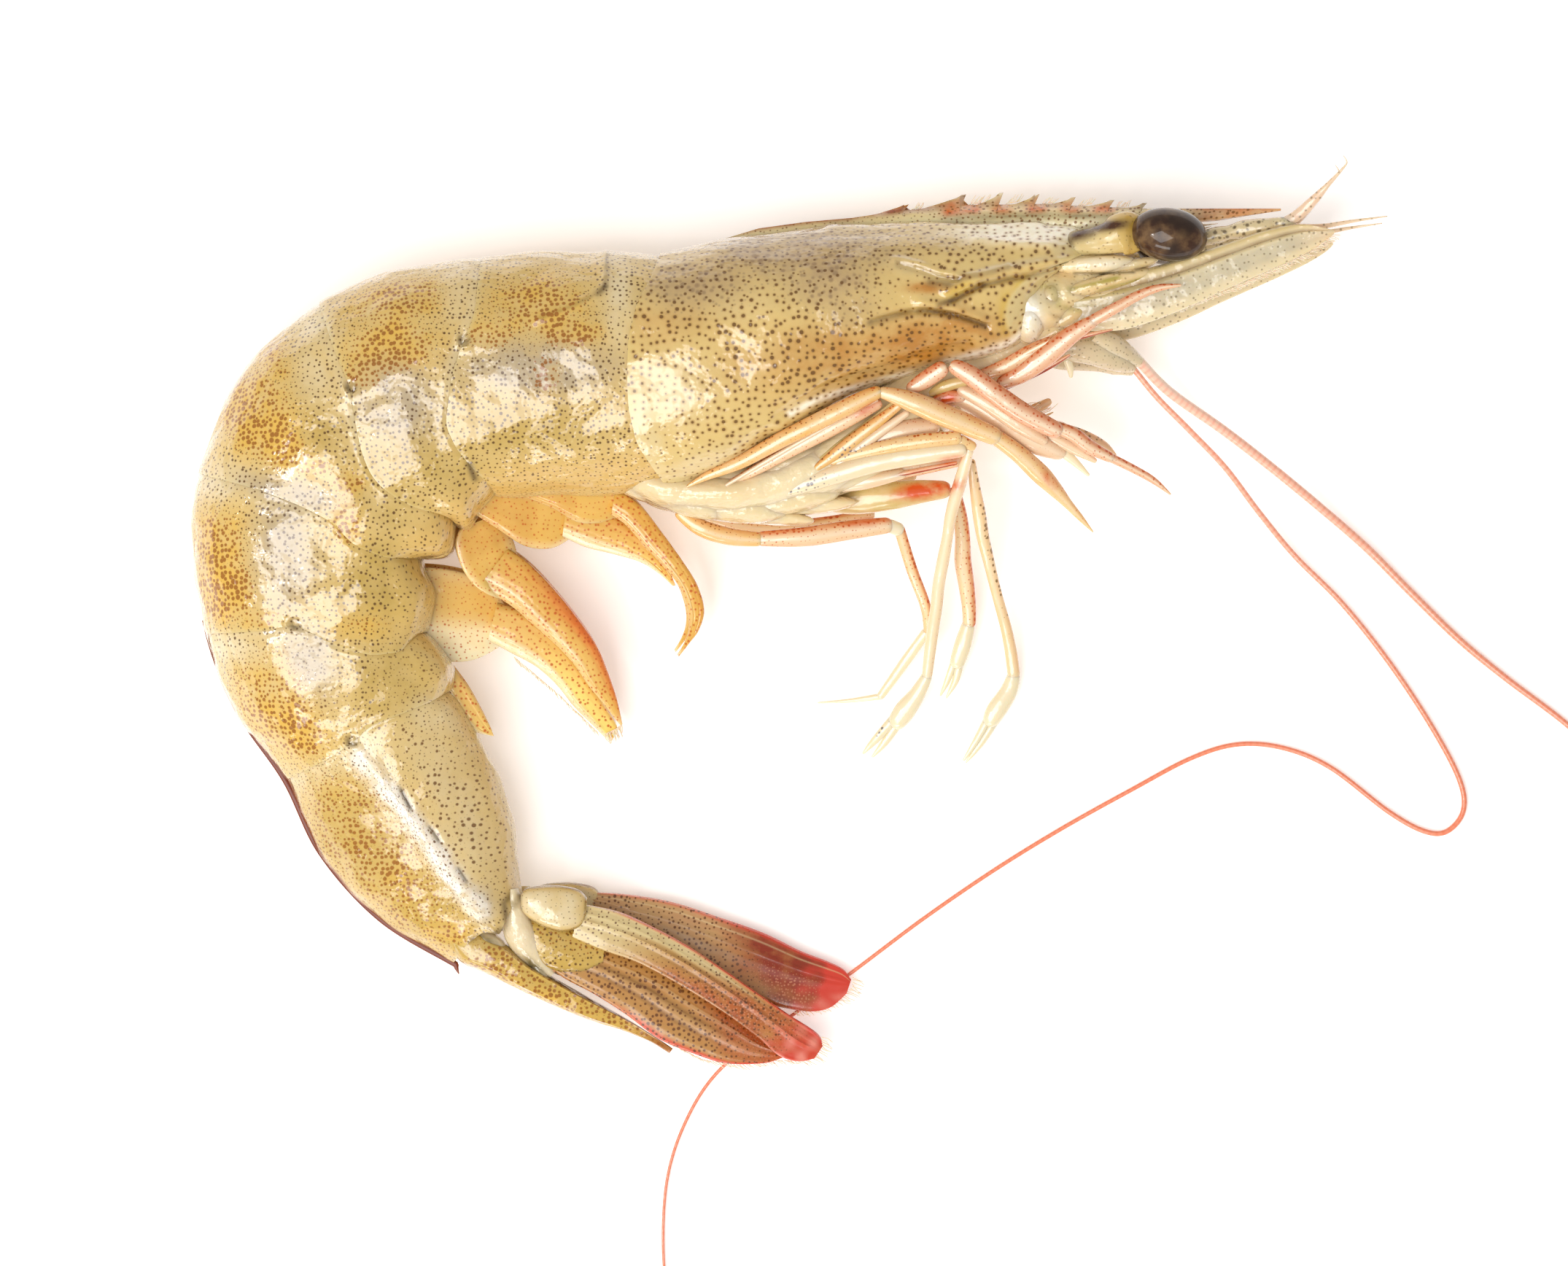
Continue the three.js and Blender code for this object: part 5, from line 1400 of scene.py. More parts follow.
# %% Finish of the eye
MOTTLES_PER_MM = 1.1
BLOTCHES_PER_MM = 0.34
horn, tree = new_material("dark eye cornea")
spot = add(tree, "TexCoord").outputs["Object"]
mottle = {"Scale": MOTTLES_PER_MM / MM, "Detail": 4.0}
blotch = {"Scale": BLOTCHES_PER_MM / MM, "Detail": 2.0}
fine = add(tree, "TexNoise", mottle, {"Vector": spot}).outputs["Fac"]
broad = add(tree, "TexNoise", blotch, {"Vector": spot}).outputs["Fac"]
fine = add(tree, "MapRange", {1: 0.38, 2: 0.68, 4: 0.8}, {0: fine}).outputs[0]
broad = add(tree, "MapRange", {1: 0.42, 2: 0.62, 4: 0.9}, {0: broad}).outputs[0]
browns = {"data_type": "RGBA", 6: colour("#3C2212"), 7: colour("#7C5E3C")}
tone = add(tree, "Mix", browns, {0: fine}).outputs[2]
tone = add(tree, "Mix", {"data_type": "RGBA", 7: colour("#2A190E")}, {0: broad, 6: tone}).outputs[2]
lens = {"Roughness": 0.5, "IOR": 1.25, "Coat Weight": 1.0, "Coat Roughness": 0.06, "Coat IOR": 1.36}
ball = add(tree, "BsdfPrincipled", lens, {"Base Color": tone})
add(tree, "OutputMaterial", links={"Surface": ball.outputs[0]})
print(f"{horn.name}: {len(tree.nodes)} nodes")

# %% [markdown]
# ## Eyes and stalks
# Each eye is an oval ball on a short stalk that widens to a cup. The stalk is thin chitin over fat, so it
# is yellow, with a dark patch where the pigment of the eye shows through.


# %% Eyes and stalks
EYE_PLACE = (43.0, 11.7, 12.2)
FAR_EYE_PLACE = (EYE_PLACE[0] - 0.2, EYE_PLACE[1] + 0.1, 2 * MID_PLANE - EYE_PLACE[2])
EYE_RADII = (3.3, 2.3, 2.3)
EYE_TILT = -8
STALK = [
    [33.6, 10.6, 9.8, 0.7, 0.8], [35, 10.95, 10.4, 1.15, 1.2], [36.6, 11.15, 11.2, 1.2, 1.25],
    [37.9, 11.45, 11.7, 1.4, 1.4], [38.7, 11.75, 11.8, 1.75, 1.5], [39.4, 11.85, 11.8, 1.85, 1.3],
    [40, 11.85, 11.8, 1.75, 0.9], [40.7, 11.85, 11.8, 1.4, 0.6],
]
STALK_BROWN = [
    (37.6, 12.4, 2.0, 0.5, 6, 1.0), (35.6, 11.8, 1.5, 0.6, 20, 1.0), (34.2, 11.0, 0.9, 0.7, 40, 0.9),
]


def stalk_paint(along, across, x, y):
    """Yellow stalk with a dark patch on its upper side."""
    return {
        "amber": 0.55 * ramp(along, 0.45, 0.8), "clear": 0.5 * ramp(0.6 - along, 0, 0.3),
        "green": 0.3 * ramp(0.4 - along, 0, 0.3), "brown": ovals(x, y, STALK_BROWN), "dense": 0.6,
    }


stalk_finish = chitin(
    "yellow stalk chitin",
    ("#D0B064", "#D8C084"),
    [
        ("amber", "#C4982C", 0.3), ("clear", "#DECC9C", 0.3), ("green", "#8E8A5C", 0.4),
        ("brown", "#48260A", 0.35),
    ],
    [(0.6, 0.12, 0.06, "#6A4415", 0.6, "dense")],
    gloss=0.22,
    film=0.5,
)
EYES = [("right", EYE_PLACE, STALK), ("left", FAR_EYE_PLACE, mirrored(STALK, -0.2, 0.1))]
for side, place, rows in EYES:
    piece(f"eye_ball_{side}", lobe(place, EYE_RADII, EYE_TILT), horn, "eye", f"eye_{side}")
    stalk = swept(rows, 60, 40, None, stalk_paint)
    piece(f"eye_stalk_{side}", stalk, stalk_finish, "head_flesh", f"eyestalk_{side}")

# %% [markdown]
# ## Antennal scales
# Each is a leaf that covers the root of a long feeler. Its outer edge is a stiff ridge, the rest a nearly
# clear web that takes the grey-tan of what lies below. Only the ridge keeps its colour.


# %% Antennal scales
SCALE = [
    [35, 7.2, 34.8, 3.6, 11, 0.9], [38.4, 8.2, 39, 3.6, 11.4, 0.65], [42.8, 9.3, 43.6, 5.1, 11.6, 0.55],
    [47.2, 10.75, 48.2, 7.2, 11.5, 0.5], [51.2, 12.1, 52.2, 8.95, 11.2, 0.42],
    [54, 12.65, 55, 10.3, 11, 0.32], [56, 12.4, 56.6, 11.3, 10.9, 0.24],
    [57.1, 12.15, 57.2, 11.9, 10.8, 0.12],
]
FAR_SCALE = [[a + 0.2, b - 0.75, c + 0.2, d - 0.75, 2 * MID_PLANE - z, h] for a, b, c, d, z, h in SCALE]


def scale_paint(along, across, x, y):
    """A stiff tan outer edge, a grey see-through web, a tan lower rim."""
    streak = np.sin(across * 17 + along * 5)
    groove = stripe(across, 0.52, 0.08) * ramp(0.9 - along, 0, 0.3)
    root = ramp(0.32 - along, 0, 0.25) * ramp(across, -0.2, 0.3)
    return {
        "ridge": clamp(stripe(across, 0.78, 0.16) + 0.6 * stripe(across, 0.36, 0.07)),
        "shade": 0.8 * groove + 0.5 * stripe(across, 0.98, 0.05),
        "web": ramp(0.45 - across, 0, 0.4) * ramp(across, -0.75, -0.35) * ramp(0.95 - along, 0, 0.35),
        "green": 0.75 * root * (0.55 + 0.45 * streak),
        # glow: the lower rim and a line by the ridge are painted paler, as a painted glow of light through
        # the thin edge.
        "glow": 0.6 * ramp(-across, 0.6, 0.9) + 0.3 * stripe(across, 0.62, 0.1),
        "pink": 0.3 * ramp(along, 0.6, 0.9), "dense": 0.75 * ramp(0.55 - across, 0, 0.2),
        "coarse": 0.9 * stripe(across, 0.92, 0.08) * ramp(0.4 - along, 0, 0.3),
    }


scale_finish = chitin(
    "clear scale chitin",
    ("#DDCCA2", "#E2D4B0"),
    [
        ("web", "#CDC0A0", 0.4), ("ridge", "#D2B87C", 0.2), ("green", "#B09A3E", 0.4),
        ("glow", "#E6D4AC", 0.3), ("pink", "#EBCBAE", 0.4), ("shade", "#9C7C4E", 0.3),
    ],
    [
        (0.62, 0.12, 0.06, "#8A7858", 0.8, "dense"),
        (0.7, 0.2, 0.08, "#4E3A1C", 0.8, "coarse"),
    ],
    gloss=0.25,
)
scale_ribs = ribs([(0.8, 0.14, 0.35), (0.5, 0.06, -0.12), (0.3, 0.08, 0.12), (-0.3, 0.25, -0.08)])
for side, table, node_side in (("near", SCALE, "right"), ("far", FAR_SCALE, "left")):
    made = leaf(table, 110, 72, scale_ribs, scale_paint)
    piece(f"antennal_scale_{side}", made, scale_finish, "scale", f"antennal_scale_{node_side}")

# %% [markdown]
# ## First feelers
# Each is a short jointed stem that splits into two whiskers, with two small spines where they part. They
# are sweeps of the scale's clear chitin, pink in the whiskers.


# %% First feelers
ANTENNULE = [
    [45, 11.2, 9.6, 0.6, 0.7], [47, 11.7, 9.8, 0.75, 0.75], [48.3, 12, 9.9, 0.62, 0.62],
    [49.4, 12.2, 9.9, 0.82, 0.75], [51.2, 12.5, 10.1, 0.72, 0.7], [52, 12.7, 10.1, 0.55, 0.55],
    [53, 12.75, 10.2, 0.55, 0.5], [53.8, 12.8, 10.2, 0.3, 0.3],
]
WHISKERS = [
    [
        [52.8, 12.8, 10.2, 0.42, 0.35], [54, 13.4, 10.4, 0.5, 0.3], [55.4, 14.7, 10.7, 0.42, 0.25],
        [56.6, 16, 11, 0.22, 0.16], [57.7, 17.2, 11.2, 0.12, 0.1], [58.2, 17.9, 11.3, 0.07, 0.06],
        [57.9, 18.5, 11.3, 0.03, 0.03],
    ],
    [
        [53, 12.4, 10, 0.4, 0.35], [56, 12.5, 9.8, 0.25, 0.2], [59, 13, 9.6, 0.14, 0.12],
        [61.8, 13.4, 9.4, 0.05, 0.05],
    ],
]
SPINES = [
    ([45, 12.5, 9.9, 0.16, 0.16], [47.3, 12.75, 9.9, 0.02, 0.02]),
    ([45.2, 12.1, 9.9, 0.18, 0.16], [46.7, 12.5, 9.9, 0.02, 0.02]),
]
stem_paint = even_paint(ridge=0.2, web=0.3, green=0.15, pink=0.1, dense=0.6, coarse=0.8)
wire_paint = even_paint(shade=0.1, glow=0.1, pink=1.0, dense=0.8)


def first_feeler(placed):
    """Stem, whiskers and spines. placed puts each one on its side."""
    parts = [swept(placed(ANTENNULE), 80, 32, None, stem_paint)]
    parts += [swept(placed(rows), 70, 16, None, wire_paint) for rows in WHISKERS]
    parts += [swept(placed(rows), 16, 10, None, wire_paint, even=False) for rows in SPINES]
    return together(*parts)


def on_far_side(rows):
    """The same rows for the first feeler next to the table."""
    return mirrored(rows, -0.3, -0.5)


for side, placed in (("right", list), ("left", on_far_side)):
    piece(f"antennule_{side}", first_feeler(placed), scale_finish, "scale", f"antennule_{side}")

# %% [markdown]
# ## Finish of the feelers
# A feeler is a whip of hundreds of tiny rings of hard chitin dyed by coral pigment, like a satin wire. A
# real ring, about 0.3 mm long, is too fine to show, so the bands are drawn twice as far apart.

# %% Ringed chitin
RING_MM = 0.5712
WAVE_TURNS = 20 / (2 * np.pi)  # bands that a wave texture draws in one unit
feeler_horn, tree = new_material("ringed feeler chitin")
grain = add(tree, "Attribute", {"attribute_name": "grain"}).outputs["Vector"]
bands = {
    "wave_type": "BANDS", "bands_direction": "X", "Scale": 1 / (WAVE_TURNS * RING_MM), "Distortion": 1.2,
    "Detail": 1.0,
}
rings = add(tree, "TexWave", bands, {"Vector": grain}).outputs["Fac"]
deep = add(tree, "Attribute", {"attribute_name": "deep"}).outputs["Fac"]
corals = {"data_type": "RGBA", 6: colour("#F7CCB2"), 7: colour("#EA7A50")}
shade = add(tree, "Mix", corals, {0: deep}).outputs[2]
dashes = add(tree, "MapRange", {1: 0.45, 2: 0.9, 4: 0.3}, {0: rings}).outputs[0]
shade = add(tree, "Mix", {"data_type": "RGBA", 7: colour("#E4683A")}, {0: dashes, 6: shade}).outputs[2]
pale = add(tree, "Attribute", {"attribute_name": "pale"}).outputs["Fac"]
shade = add(tree, "Mix", {"data_type": "RGBA", 7: colour("#F7DCC8")}, {0: pale, 6: shade}).outputs[2]
wire = {
    "Roughness": 0.3, "IOR": 1.5, "Coat Weight": 0.6, "Coat Roughness": 0.08, "Subsurface Weight": 0.2,
    "Subsurface Scale": 0.3 * MM,
}
surface = add(tree, "BsdfPrincipled", wire, {"Base Color": shade})
add(tree, "OutputMaterial", links={"Surface": surface.outputs[0]})
print(f"{feeler_horn.name}: {len(tree.nodes)} nodes")

# %% [markdown]
# ## Feelers and their roots
# A feeler starts in a root of three short joints, tapers very slowly and rests on the table. The near one
# is pale on one side at its root, the far one deep coral early on.


# %% Feelers and roots
FEELER = {
    "right": [
        [40, 1.7, 6.7], [40.5, 1.3, 6.6], [42.3, -0.6, 6], [44.1, -2.1, 5.5], [48.2, -4.9, 4.2],
        [52.3, -8, 2.9], [56.4, -11.3, 1.7], [60.5, -14.8, 0.8], [64.5, -18.8, 0.5], [68.6, -22.8, 0.45],
        [72.6, -26.1, 0.42], [78, -30.2, 0.4], [81.6, -33.8, 0.4], [83.2, -38.4, 0.4], [82.2, -43.2, 0.4],
        [79.4, -46.8, 0.4],
    ],
    "left": [
        [40, 0.8, 3.9], [40.4, 0.4, 3.9], [42.4, -2, 3.6], [45.2, -4.8, 3.1], [48.3, -8, 2.4],
        [51.3, -11.9, 1.6], [54.4, -15.6, 0.9], [58.5, -19.7, 0.5], [62.5, -24.7, 0.4], [66.1, -30.1, 0.4],
        [68.6, -34.8, 0.4], [69, -37.6, 0.4], [67.6, -39.4, 0.4], [65.6, -39.4, 0.4], [62.5, -37.7, 0.4],
        [57.5, -33.9, 0.4], [53.4, -32.2, 0.4], [49.4, -31.9, 0.4], [45.4, -33.1, 0.4], [40.3, -35.8, 0.4],
        [34.2, -39.2, 0.3], [28.2, -42.9, 0.3], [22.1, -47.1, 0.3], [16.1, -51.6, 0.3], [10, -56, 0.3],
        [4.7, -60, 0.3], [1.7, -64.5, 0.3], [0, -70, 0.3], [-0.2, -77.1, 0.3], [0.9, -81.4, 0.3],
        [3.4, -84.6, 0.3],
    ],
}
FEELER_ROOT = {"right": 0.44, "left": 0.26}  # half widths at the root, mm
FEELER_TIP = 0.1
ANTENNA_BASE = {
    "right": [
        [32.4, 2.4, 8.8, 0.5, 0.7], [34.4, 2.25, 8.6, 1.15, 1.2], [36.6, 2.05, 8.2, 1.35, 1.2],
        [38.4, 1.35, 7.4, 1.15, 1], [39.6, 0.75, 6.8, 0.7, 0.7], [40.2, 0.4, 6.5, 0.3, 0.4],
    ],
    "left": [
        [31.6, 2.2, 5, 0.6, 0.7], [33.6, 1.8, 4.9, 1.3, 1.2], [36, 1.5, 4.6, 1.2, 1.1],
        [37.6, 1.1, 4.3, 0.9, 0.9], [38.8, 0.9, 4.2, 0.95, 0.85], [39.8, 0.5, 4, 0.6, 0.55],
        [40.3, 0.3, 3.9, 0.4, 0.4],
    ],
}
PEDUNCLE = [
    [36.6, 3.3, 9.2, 0.6, 0.7], [38.2, 2.6, 8.5, 0.9, 0.8], [39.6, 1.75, 7.4, 0.75, 0.7],
    [40.7, 1.0, 6.7, 0.5, 0.5],
]
# How deep the colour is at the root, where it is deepest, and whether one side is pale.
FEELER_TINT = {"right": (0.1, 0.9, 1.0), "left": (0.4, 0.4, 0.0)}


def strand_paint(start, deepest, bright_side):
    """Paint of a feeler."""
    return lambda along, across, x, y: {
        "deep": clamp(start + (0.85 - start) * ramp(along, 0.1, deepest)),
        "pale": 0.75 * bright_side * ramp(across, 0.0, 0.5) * ramp(0.3 - along, 0, 0.15),
    }


root_paint = even_paint(ridge=0.1, shade=0.05, web=0.5, green=0.1, pink=0.2, dense=0.5, coarse=0.25)
for side, rows in FEELER.items():
    out = np.linspace(0, 1, len(rows))
    radii = FEELER_ROOT[side] + (FEELER_TIP - FEELER_ROOT[side]) * out**2
    strand = [[x, y, max(z, r), r, r] for (x, y, z), r in zip(rows, radii)]
    made = swept(strand, 26 * len(rows), 14, None, strand_paint(*FEELER_TINT[side]))
    piece(f"feeler_{side}", made, feeler_horn, "feeler", f"antenna_{side}")
    root = [swept(ANTENNA_BASE[side], 60, 36, None, root_paint)]
    if side == "right":
        root.append(swept(PEDUNCLE, 50, 30, None, root_paint))
    piece(f"feeler_root_{side}", together(*root), scale_finish, "head_flesh", f"antenna_base_{side}")

# %% [markdown]
# ## Mouth limbs and walking legs
# A leg is a chain of stiff tubes, its articles. Some are glassy, some rusty along one edge, and the last
# ones are cream claws, so each names a style: how strong its marks are. Legs one to three end in small
# pincers, the others in plain points.

# %% Styles, spots, and limbs as articles: a style and a spine of x, y, height, half width
SCARLET = [
    (22.6, -10.0, 2.8, 0.75, 8, 1.0), (24.4, -7.5, 1.0, 0.35, 12, 0.8), (17.4, -3.2, 1.4, 0.4, 26, 0.7),
    (24.2, -2.3, 1.0, 0.45, 24, 0.8), (17.6, -12.7, 2.2, 0.5, 4, 0.5), (32.9, -9.2, 0.9, 0.4, -50, 0.6),
]
LIMB_INK = [
    (15.6, -6.8, 1.6, 0.5, 20, 1.0), (12.2, -9.6, 2.4, 0.5, 16, 1.0), (18.6, -30.7, 1.0, 0.2, 55, 1.0),
]
# pale in each style is the strength of a painted highlight streak along the article.
STYLES = {
    "salmon": dict(pink=0.6, edge=0.5, dense=1, pale=0.8),
    "glassy": dict(pink=0.2, edge=0.1, dense=0.4, pale=0.6, tip=0.3),
    "rusty": dict(pink=0.2, edge=0.75, dense=1, pale=0.8),
    "golden": dict(yellow=0.75, edge=0.35, dense=0.6, pale=0.6, umber=0.5),
    "amber": dict(yellow=0.6, edge=0.3, dense=0.5, pale=0.5),
    "speckled": dict(yellow=0.55, edge=0.15, dense=0.7, umber=0.3),
    "cream": dict(tip=0.35, edge=0.1, dense=0.15, pale=0.8),
    "stained": dict(yellow=0.2, edge=0.7, dense=1, pale=0.5),
    "brown": dict(yellow=0.25, edge=0.1, dense=0.1, umber=1, pale=0.5),
    "claw": dict(tip=1, dense=0, pale=0.5),
    "khaki": dict(khaki=0.8, dense=0.2, pale=0.2),
    "ruby": dict(pink=0.6, ruby=1, dense=0.3),
}
LIMBS = {
    "maxilliped_right": ("pink_limb", [
        ("rusty", [[20.7, -1.6, 12.6, 0.45], [22.2, -0.7, 13, 0.75], [24, 0.5, 13.5, 0.7]]),
        ("salmon", [[24.3, 0.6, 13.7, 0.62], [26, -0.3, 13.7, 0.85], [28, -1.8, 13.5, 0.9],
            [30.5, -3.5, 13, 0.9], [33.8, -5.2, 12.3, 0.72]]),
        ("rusty", [[33, -4.6, 12.2, 0.52], [34.8, -5.3, 11.9, 0.62], [36.3, -6.4, 11.4, 0.6],
            [38.3, -7.4, 10.8, 0.42]]),
        ("salmon", [[37.9, -7.2, 10.8, 0.4], [40, -8.2, 10, 0.36], [41.8, -9.2, 9.3, 0.3],
            [43.3, -10.4, 8.7, 0.08]]),
    ]),
    "maxilliped_left": ("pink_limb", [
        ("stained", [[26, -0.6, 11, 0.4], [29, 0.5, 11.8, 0.62], [31.5, 1.9, 12.4, 0.6],
            [34, 3, 12.8, 0.4]]),
        ("salmon", [[28.4, -1.1, 11.2, 0.5], [30.4, -0.1, 11.8, 0.85], [32.6, 1.5, 12.6, 0.95],
            [34.6, 3.1, 13.1, 0.78], [36.8, 4.5, 13.4, 0.5]]),
        ("salmon", [[36.2, 4.2, 13.4, 0.52], [38.2, 5.3, 13.6, 0.48], [40.2, 6.4, 13.6, 0.42],
            [42, 7.1, 13.5, 0.32], [44, 7.35, 13.4, 0.1]]),
    ]),
    "leg_1_right": ("pink_limb", [
        ("rusty", [[19.6, -4.4, 9.6, 0.6], [22, -3.2, 10.4, 0.7], [24.9, -2.2, 10.9, 0.75]]),
        ("glassy", [[24.4, -1.9, 11.2, 0.7], [26.4, -2.6, 11.3, 0.95], [28.8, -4, 11, 1.2],
            [31.6, -5.8, 10.5, 1.15], [34.2, -7, 9.9, 0.6]]),
        ("claw", [[33, -6, 10, 0.5], [34.6, -7.2, 9.6, 0.42], [36.3, -8.8, 9.2, 0.14]]),
        ("glassy", [[32.6, -5.2, 10.6, 0.5], [34.8, -6.4, 10.2, 0.5], [36.9, -7.6, 9.8, 0.2]]),
    ]),
    "leg_2_right": ("claw_leg", [
        ("golden", [[1.9, -9.8, 12.6, 0.1], [3.6, -8.9, 12.9, 0.36], [6.5, -7.7, 13.3, 0.58],
            [10, -5.8, 13.7, 0.7], [14, -3.8, 13.9, 0.76], [17, -2.3, 13.9, 0.7], [18.5, -1.6, 13.8, 0.5]]),
        ("amber", [[18.2, -1.7, 13.8, 0.45], [20, -2.2, 13.7, 0.75], [22, -2.95, 13.4, 0.95],
            [24, -3.8, 13.1, 0.98], [26, -4.6, 12.7, 0.92], [28.6, -5.7, 12.2, 0.75]]),
        ("amber", [[28, -5.4, 12.2, 0.68], [30, -6.8, 11.5, 0.75], [32, -8.6, 10.6, 0.85],
            [33.2, -9.8, 9.9, 0.7], [34.4, -11.1, 9.1, 0.44], [35.6, -12.4, 8.3, 0.28],
            [36.7, -13.6, 7.5, 0.06]]),
    ]),
    "leg_3_right": ("claw_leg", [
        ("speckled", [[13.4, -8, 11.8, 0.3], [16, -7.1, 12.2, 0.52], [19, -6.4, 12.6, 0.64],
            [22, -5.9, 12.8, 0.66], [25.3, -5.6, 12.9, 0.55]]),
        ("cream", [[8.6, -10.5, 11, 0.45], [11, -9.8, 11.5, 0.72], [14, -8.9, 11.9, 0.82],
            [18, -7.7, 12.2, 0.88], [22, -7, 12.4, 0.85], [25.7, -6.6, 12.6, 0.6]]),
        ("speckled", [[25, -5.7, 12.7, 0.5], [26.5, -6.5, 12.2, 0.42]]),
        ("cream", [[26, -6.5, 12.2, 0.42], [25.2, -9.5, 10, 0.56], [24.5, -12, 8.8, 0.5],
            [24.2, -14, 7.8, 0.48], [23.85, -16, 6.8, 0.53], [23.5, -18, 5.8, 0.52], [23.3, -20, 5, 0.52],
            [23, -22, 4.2, 0.52], [22.75, -24, 3.5, 0.5], [22.5, -26.2, 2.9, 0.44]]),
        ("claw", [[22.65, -25.7, 2.9, 0.44], [21.7, -27.5, 2.5, 0.7], [20.6, -29, 2.1, 0.92],
            [19.6, -30.4, 1.8, 0.7]]),
        ("claw", [[20, -29.3, 1.9, 0.45], [18.5, -31, 1.6, 0.38], [17.7, -31.9, 1.3, 0.28],
            [17, -32.7, 1.1, 0.1]]),
        ("claw", [[20.1, -29.9, 1.6, 0.45], [18.9, -31.7, 1.3, 0.34], [17.8, -33, 1, 0.1]]),
    ]),
    "leg_4_right": ("leg", [
        ("rusty", [[4.8, -9.8, 12, 0.12], [7.5, -8.5, 12.4, 0.45], [10.5, -6.8, 12.8, 0.6],
            [14, -4.9, 13, 0.72], [16.6, -3.5, 13.1, 0.66], [18.5, -2.6, 13, 0.4]]),
        ("khaki", [[19.8, -2.6, 12.4, 0.35], [17.6, -4.6, 12.3, 0.6], [14.8, -6.6, 12, 0.55],
            [12, -8.4, 11.6, 0.25]]),
    ]),
    "leg_5_right": ("leg", [
        ("golden", [[1, -11.8, 9.4, 0.45], [3, -13.2, 9.2, 0.72], [5.5, -14, 8.8, 0.74],
            [8.4, -14.25, 8.4, 0.6]]),
        ("rusty", [[7.8, -14.2, 8.4, 0.62], [12, -14, 8, 0.85], [16, -13.4, 7.2, 0.84],
            [19.5, -12.95, 6.4, 0.68]]),
        ("claw", [[18.9, -12.9, 6.5, 0.6], [20.4, -13.5, 6, 0.58]]),
        ("stained", [[20, -13, 6.1, 0.48], [21.2, -16.8, 4.6, 0.5], [22.4, -20, 3, 0.47],
            [22.7, -22.4, 2.2, 0.42]]),
        ("claw", [[22.6, -22, 2.2, 0.42], [20.6, -24.8, 1.5, 0.45], [18.4, -27.9, 0.9, 0.34]]),
        ("claw", [[18.8, -27.7, 0.9, 0.3], [16, -28.1, 0.5, 0.18], [13.1, -28.3, 0.3, 0.07]]),
    ]),
    "leg_1_left": ("pink_limb", [
        ("glassy", [[20.5, -5.4, 5.4, 0.7], [26, -3.9, 5.8, 0.8], [31, -4.2, 5.4, 0.75],
            [34.6, -4.8, 4.9, 0.6]]),
        ("brown", [[33.9, -4.6, 5, 0.5], [35.8, -5.3, 4.7, 0.6], [37.6, -6.2, 4.2, 0.55],
            [38.8, -7, 3.8, 0.14]]),
    ]),
    "leg_2_left": ("claw_leg", [
        ("khaki", [[12.4, -11, 5.6, 0.25], [15.5, -10.9, 6.3, 1.15], [19, -10.5, 6.8, 1.25],
            [22, -10.1, 7, 1], [24.5, -9.9, 7, 0.7]]),
        ("stained", [[24.8, -9.7, 6.8, 0.45], [25.3, -12, 5.6, 0.6], [25.55, -14, 4.8, 0.66],
            [25.6, -16, 4, 0.74], [25.9, -18, 3.2, 0.7], [26.15, -20, 2.6, 0.62],
            [26.2, -21.8, 2.2, 0.56]]),
        ("claw", [[26.2, -21.2, 2.2, 0.55], [25.6, -23.4, 1.9, 0.74], [25, -25.3, 1.6, 0.6]]),
        ("claw", [[24.95, -24.6, 1.6, 0.34], [24.3, -26.4, 1.3, 0.26], [23.7, -27.7, 1, 0.08]]),
        ("claw", [[25.4, -24.7, 1.6, 0.38], [25, -26.4, 1.3, 0.3], [24.2, -27.9, 1, 0.08]]),
    ]),
    "leg_3_left": ("claw_leg", [
        ("rusty", [[10, -9.8, 8.4, 0.5], [16, -9.1, 8.8, 0.75], [21, -8.1, 9, 0.8],
            [25.7, -7.3, 9.2, 0.6]]),
        ("brown", [[26.2, -7.4, 9, 0.35], [26.6, -10, 7.6, 0.48], [26.95, -12, 6.6, 0.58],
            [27.3, -14, 5.6, 0.55], [27.8, -16, 4.6, 0.5], [28.3, -18, 3.8, 0.46], [28.85, -20, 3, 0.47],
            [29.4, -22, 2.4, 0.5], [29.8, -24, 1.9, 0.54], [30.1, -26.2, 1.5, 0.56]]),
        ("claw", [[30.15, -25.6, 1.5, 0.54], [29.6, -27.3, 1.3, 0.76], [28.5, -29, 1.2, 0.86],
            [27.8, -30.3, 1.1, 0.6]]),
        ("claw", [[28.1, -29.2, 1.1, 0.4], [26.8, -31.6, 0.9, 0.3], [25.7, -33.3, 0.7, 0.1]]),
        ("claw", [[28.5, -29.7, 1, 0.4], [27.2, -31.8, 0.8, 0.3], [25.9, -33.5, 0.6, 0.08]]),
    ]),
    "leg_4_left": ("leg", [
        ("stained", [[6, -11, 4.2, 0.6], [16, -9.6, 3.2, 0.6], [21.6, -8.6, 2.2, 0.45]]),
        ("claw", [[21.6, -8.6, 2.2, 0.45], [15, -7.4, 1, 0.1]]),
    ]),
    "leg_5_left": ("leg", [
        ("stained", [[2, -11.8, 4.8, 0.6], [9, -13.2, 3.6, 0.6], [18, -12, 2, 0.45]]),
        ("claw", [[18, -12, 2, 0.45], [12, -11, 0.8, 0.1]]),
    ]),
}
print("limbs:", len(LIMBS))

# %% [markdown]
# ## Paint and form of an article
# Each tube is narrow where it hinges, swells after the joint and has a stained outer edge and a painted
# highlight streak along its middle. Its rows are closer together at its ends, where it rounds off.


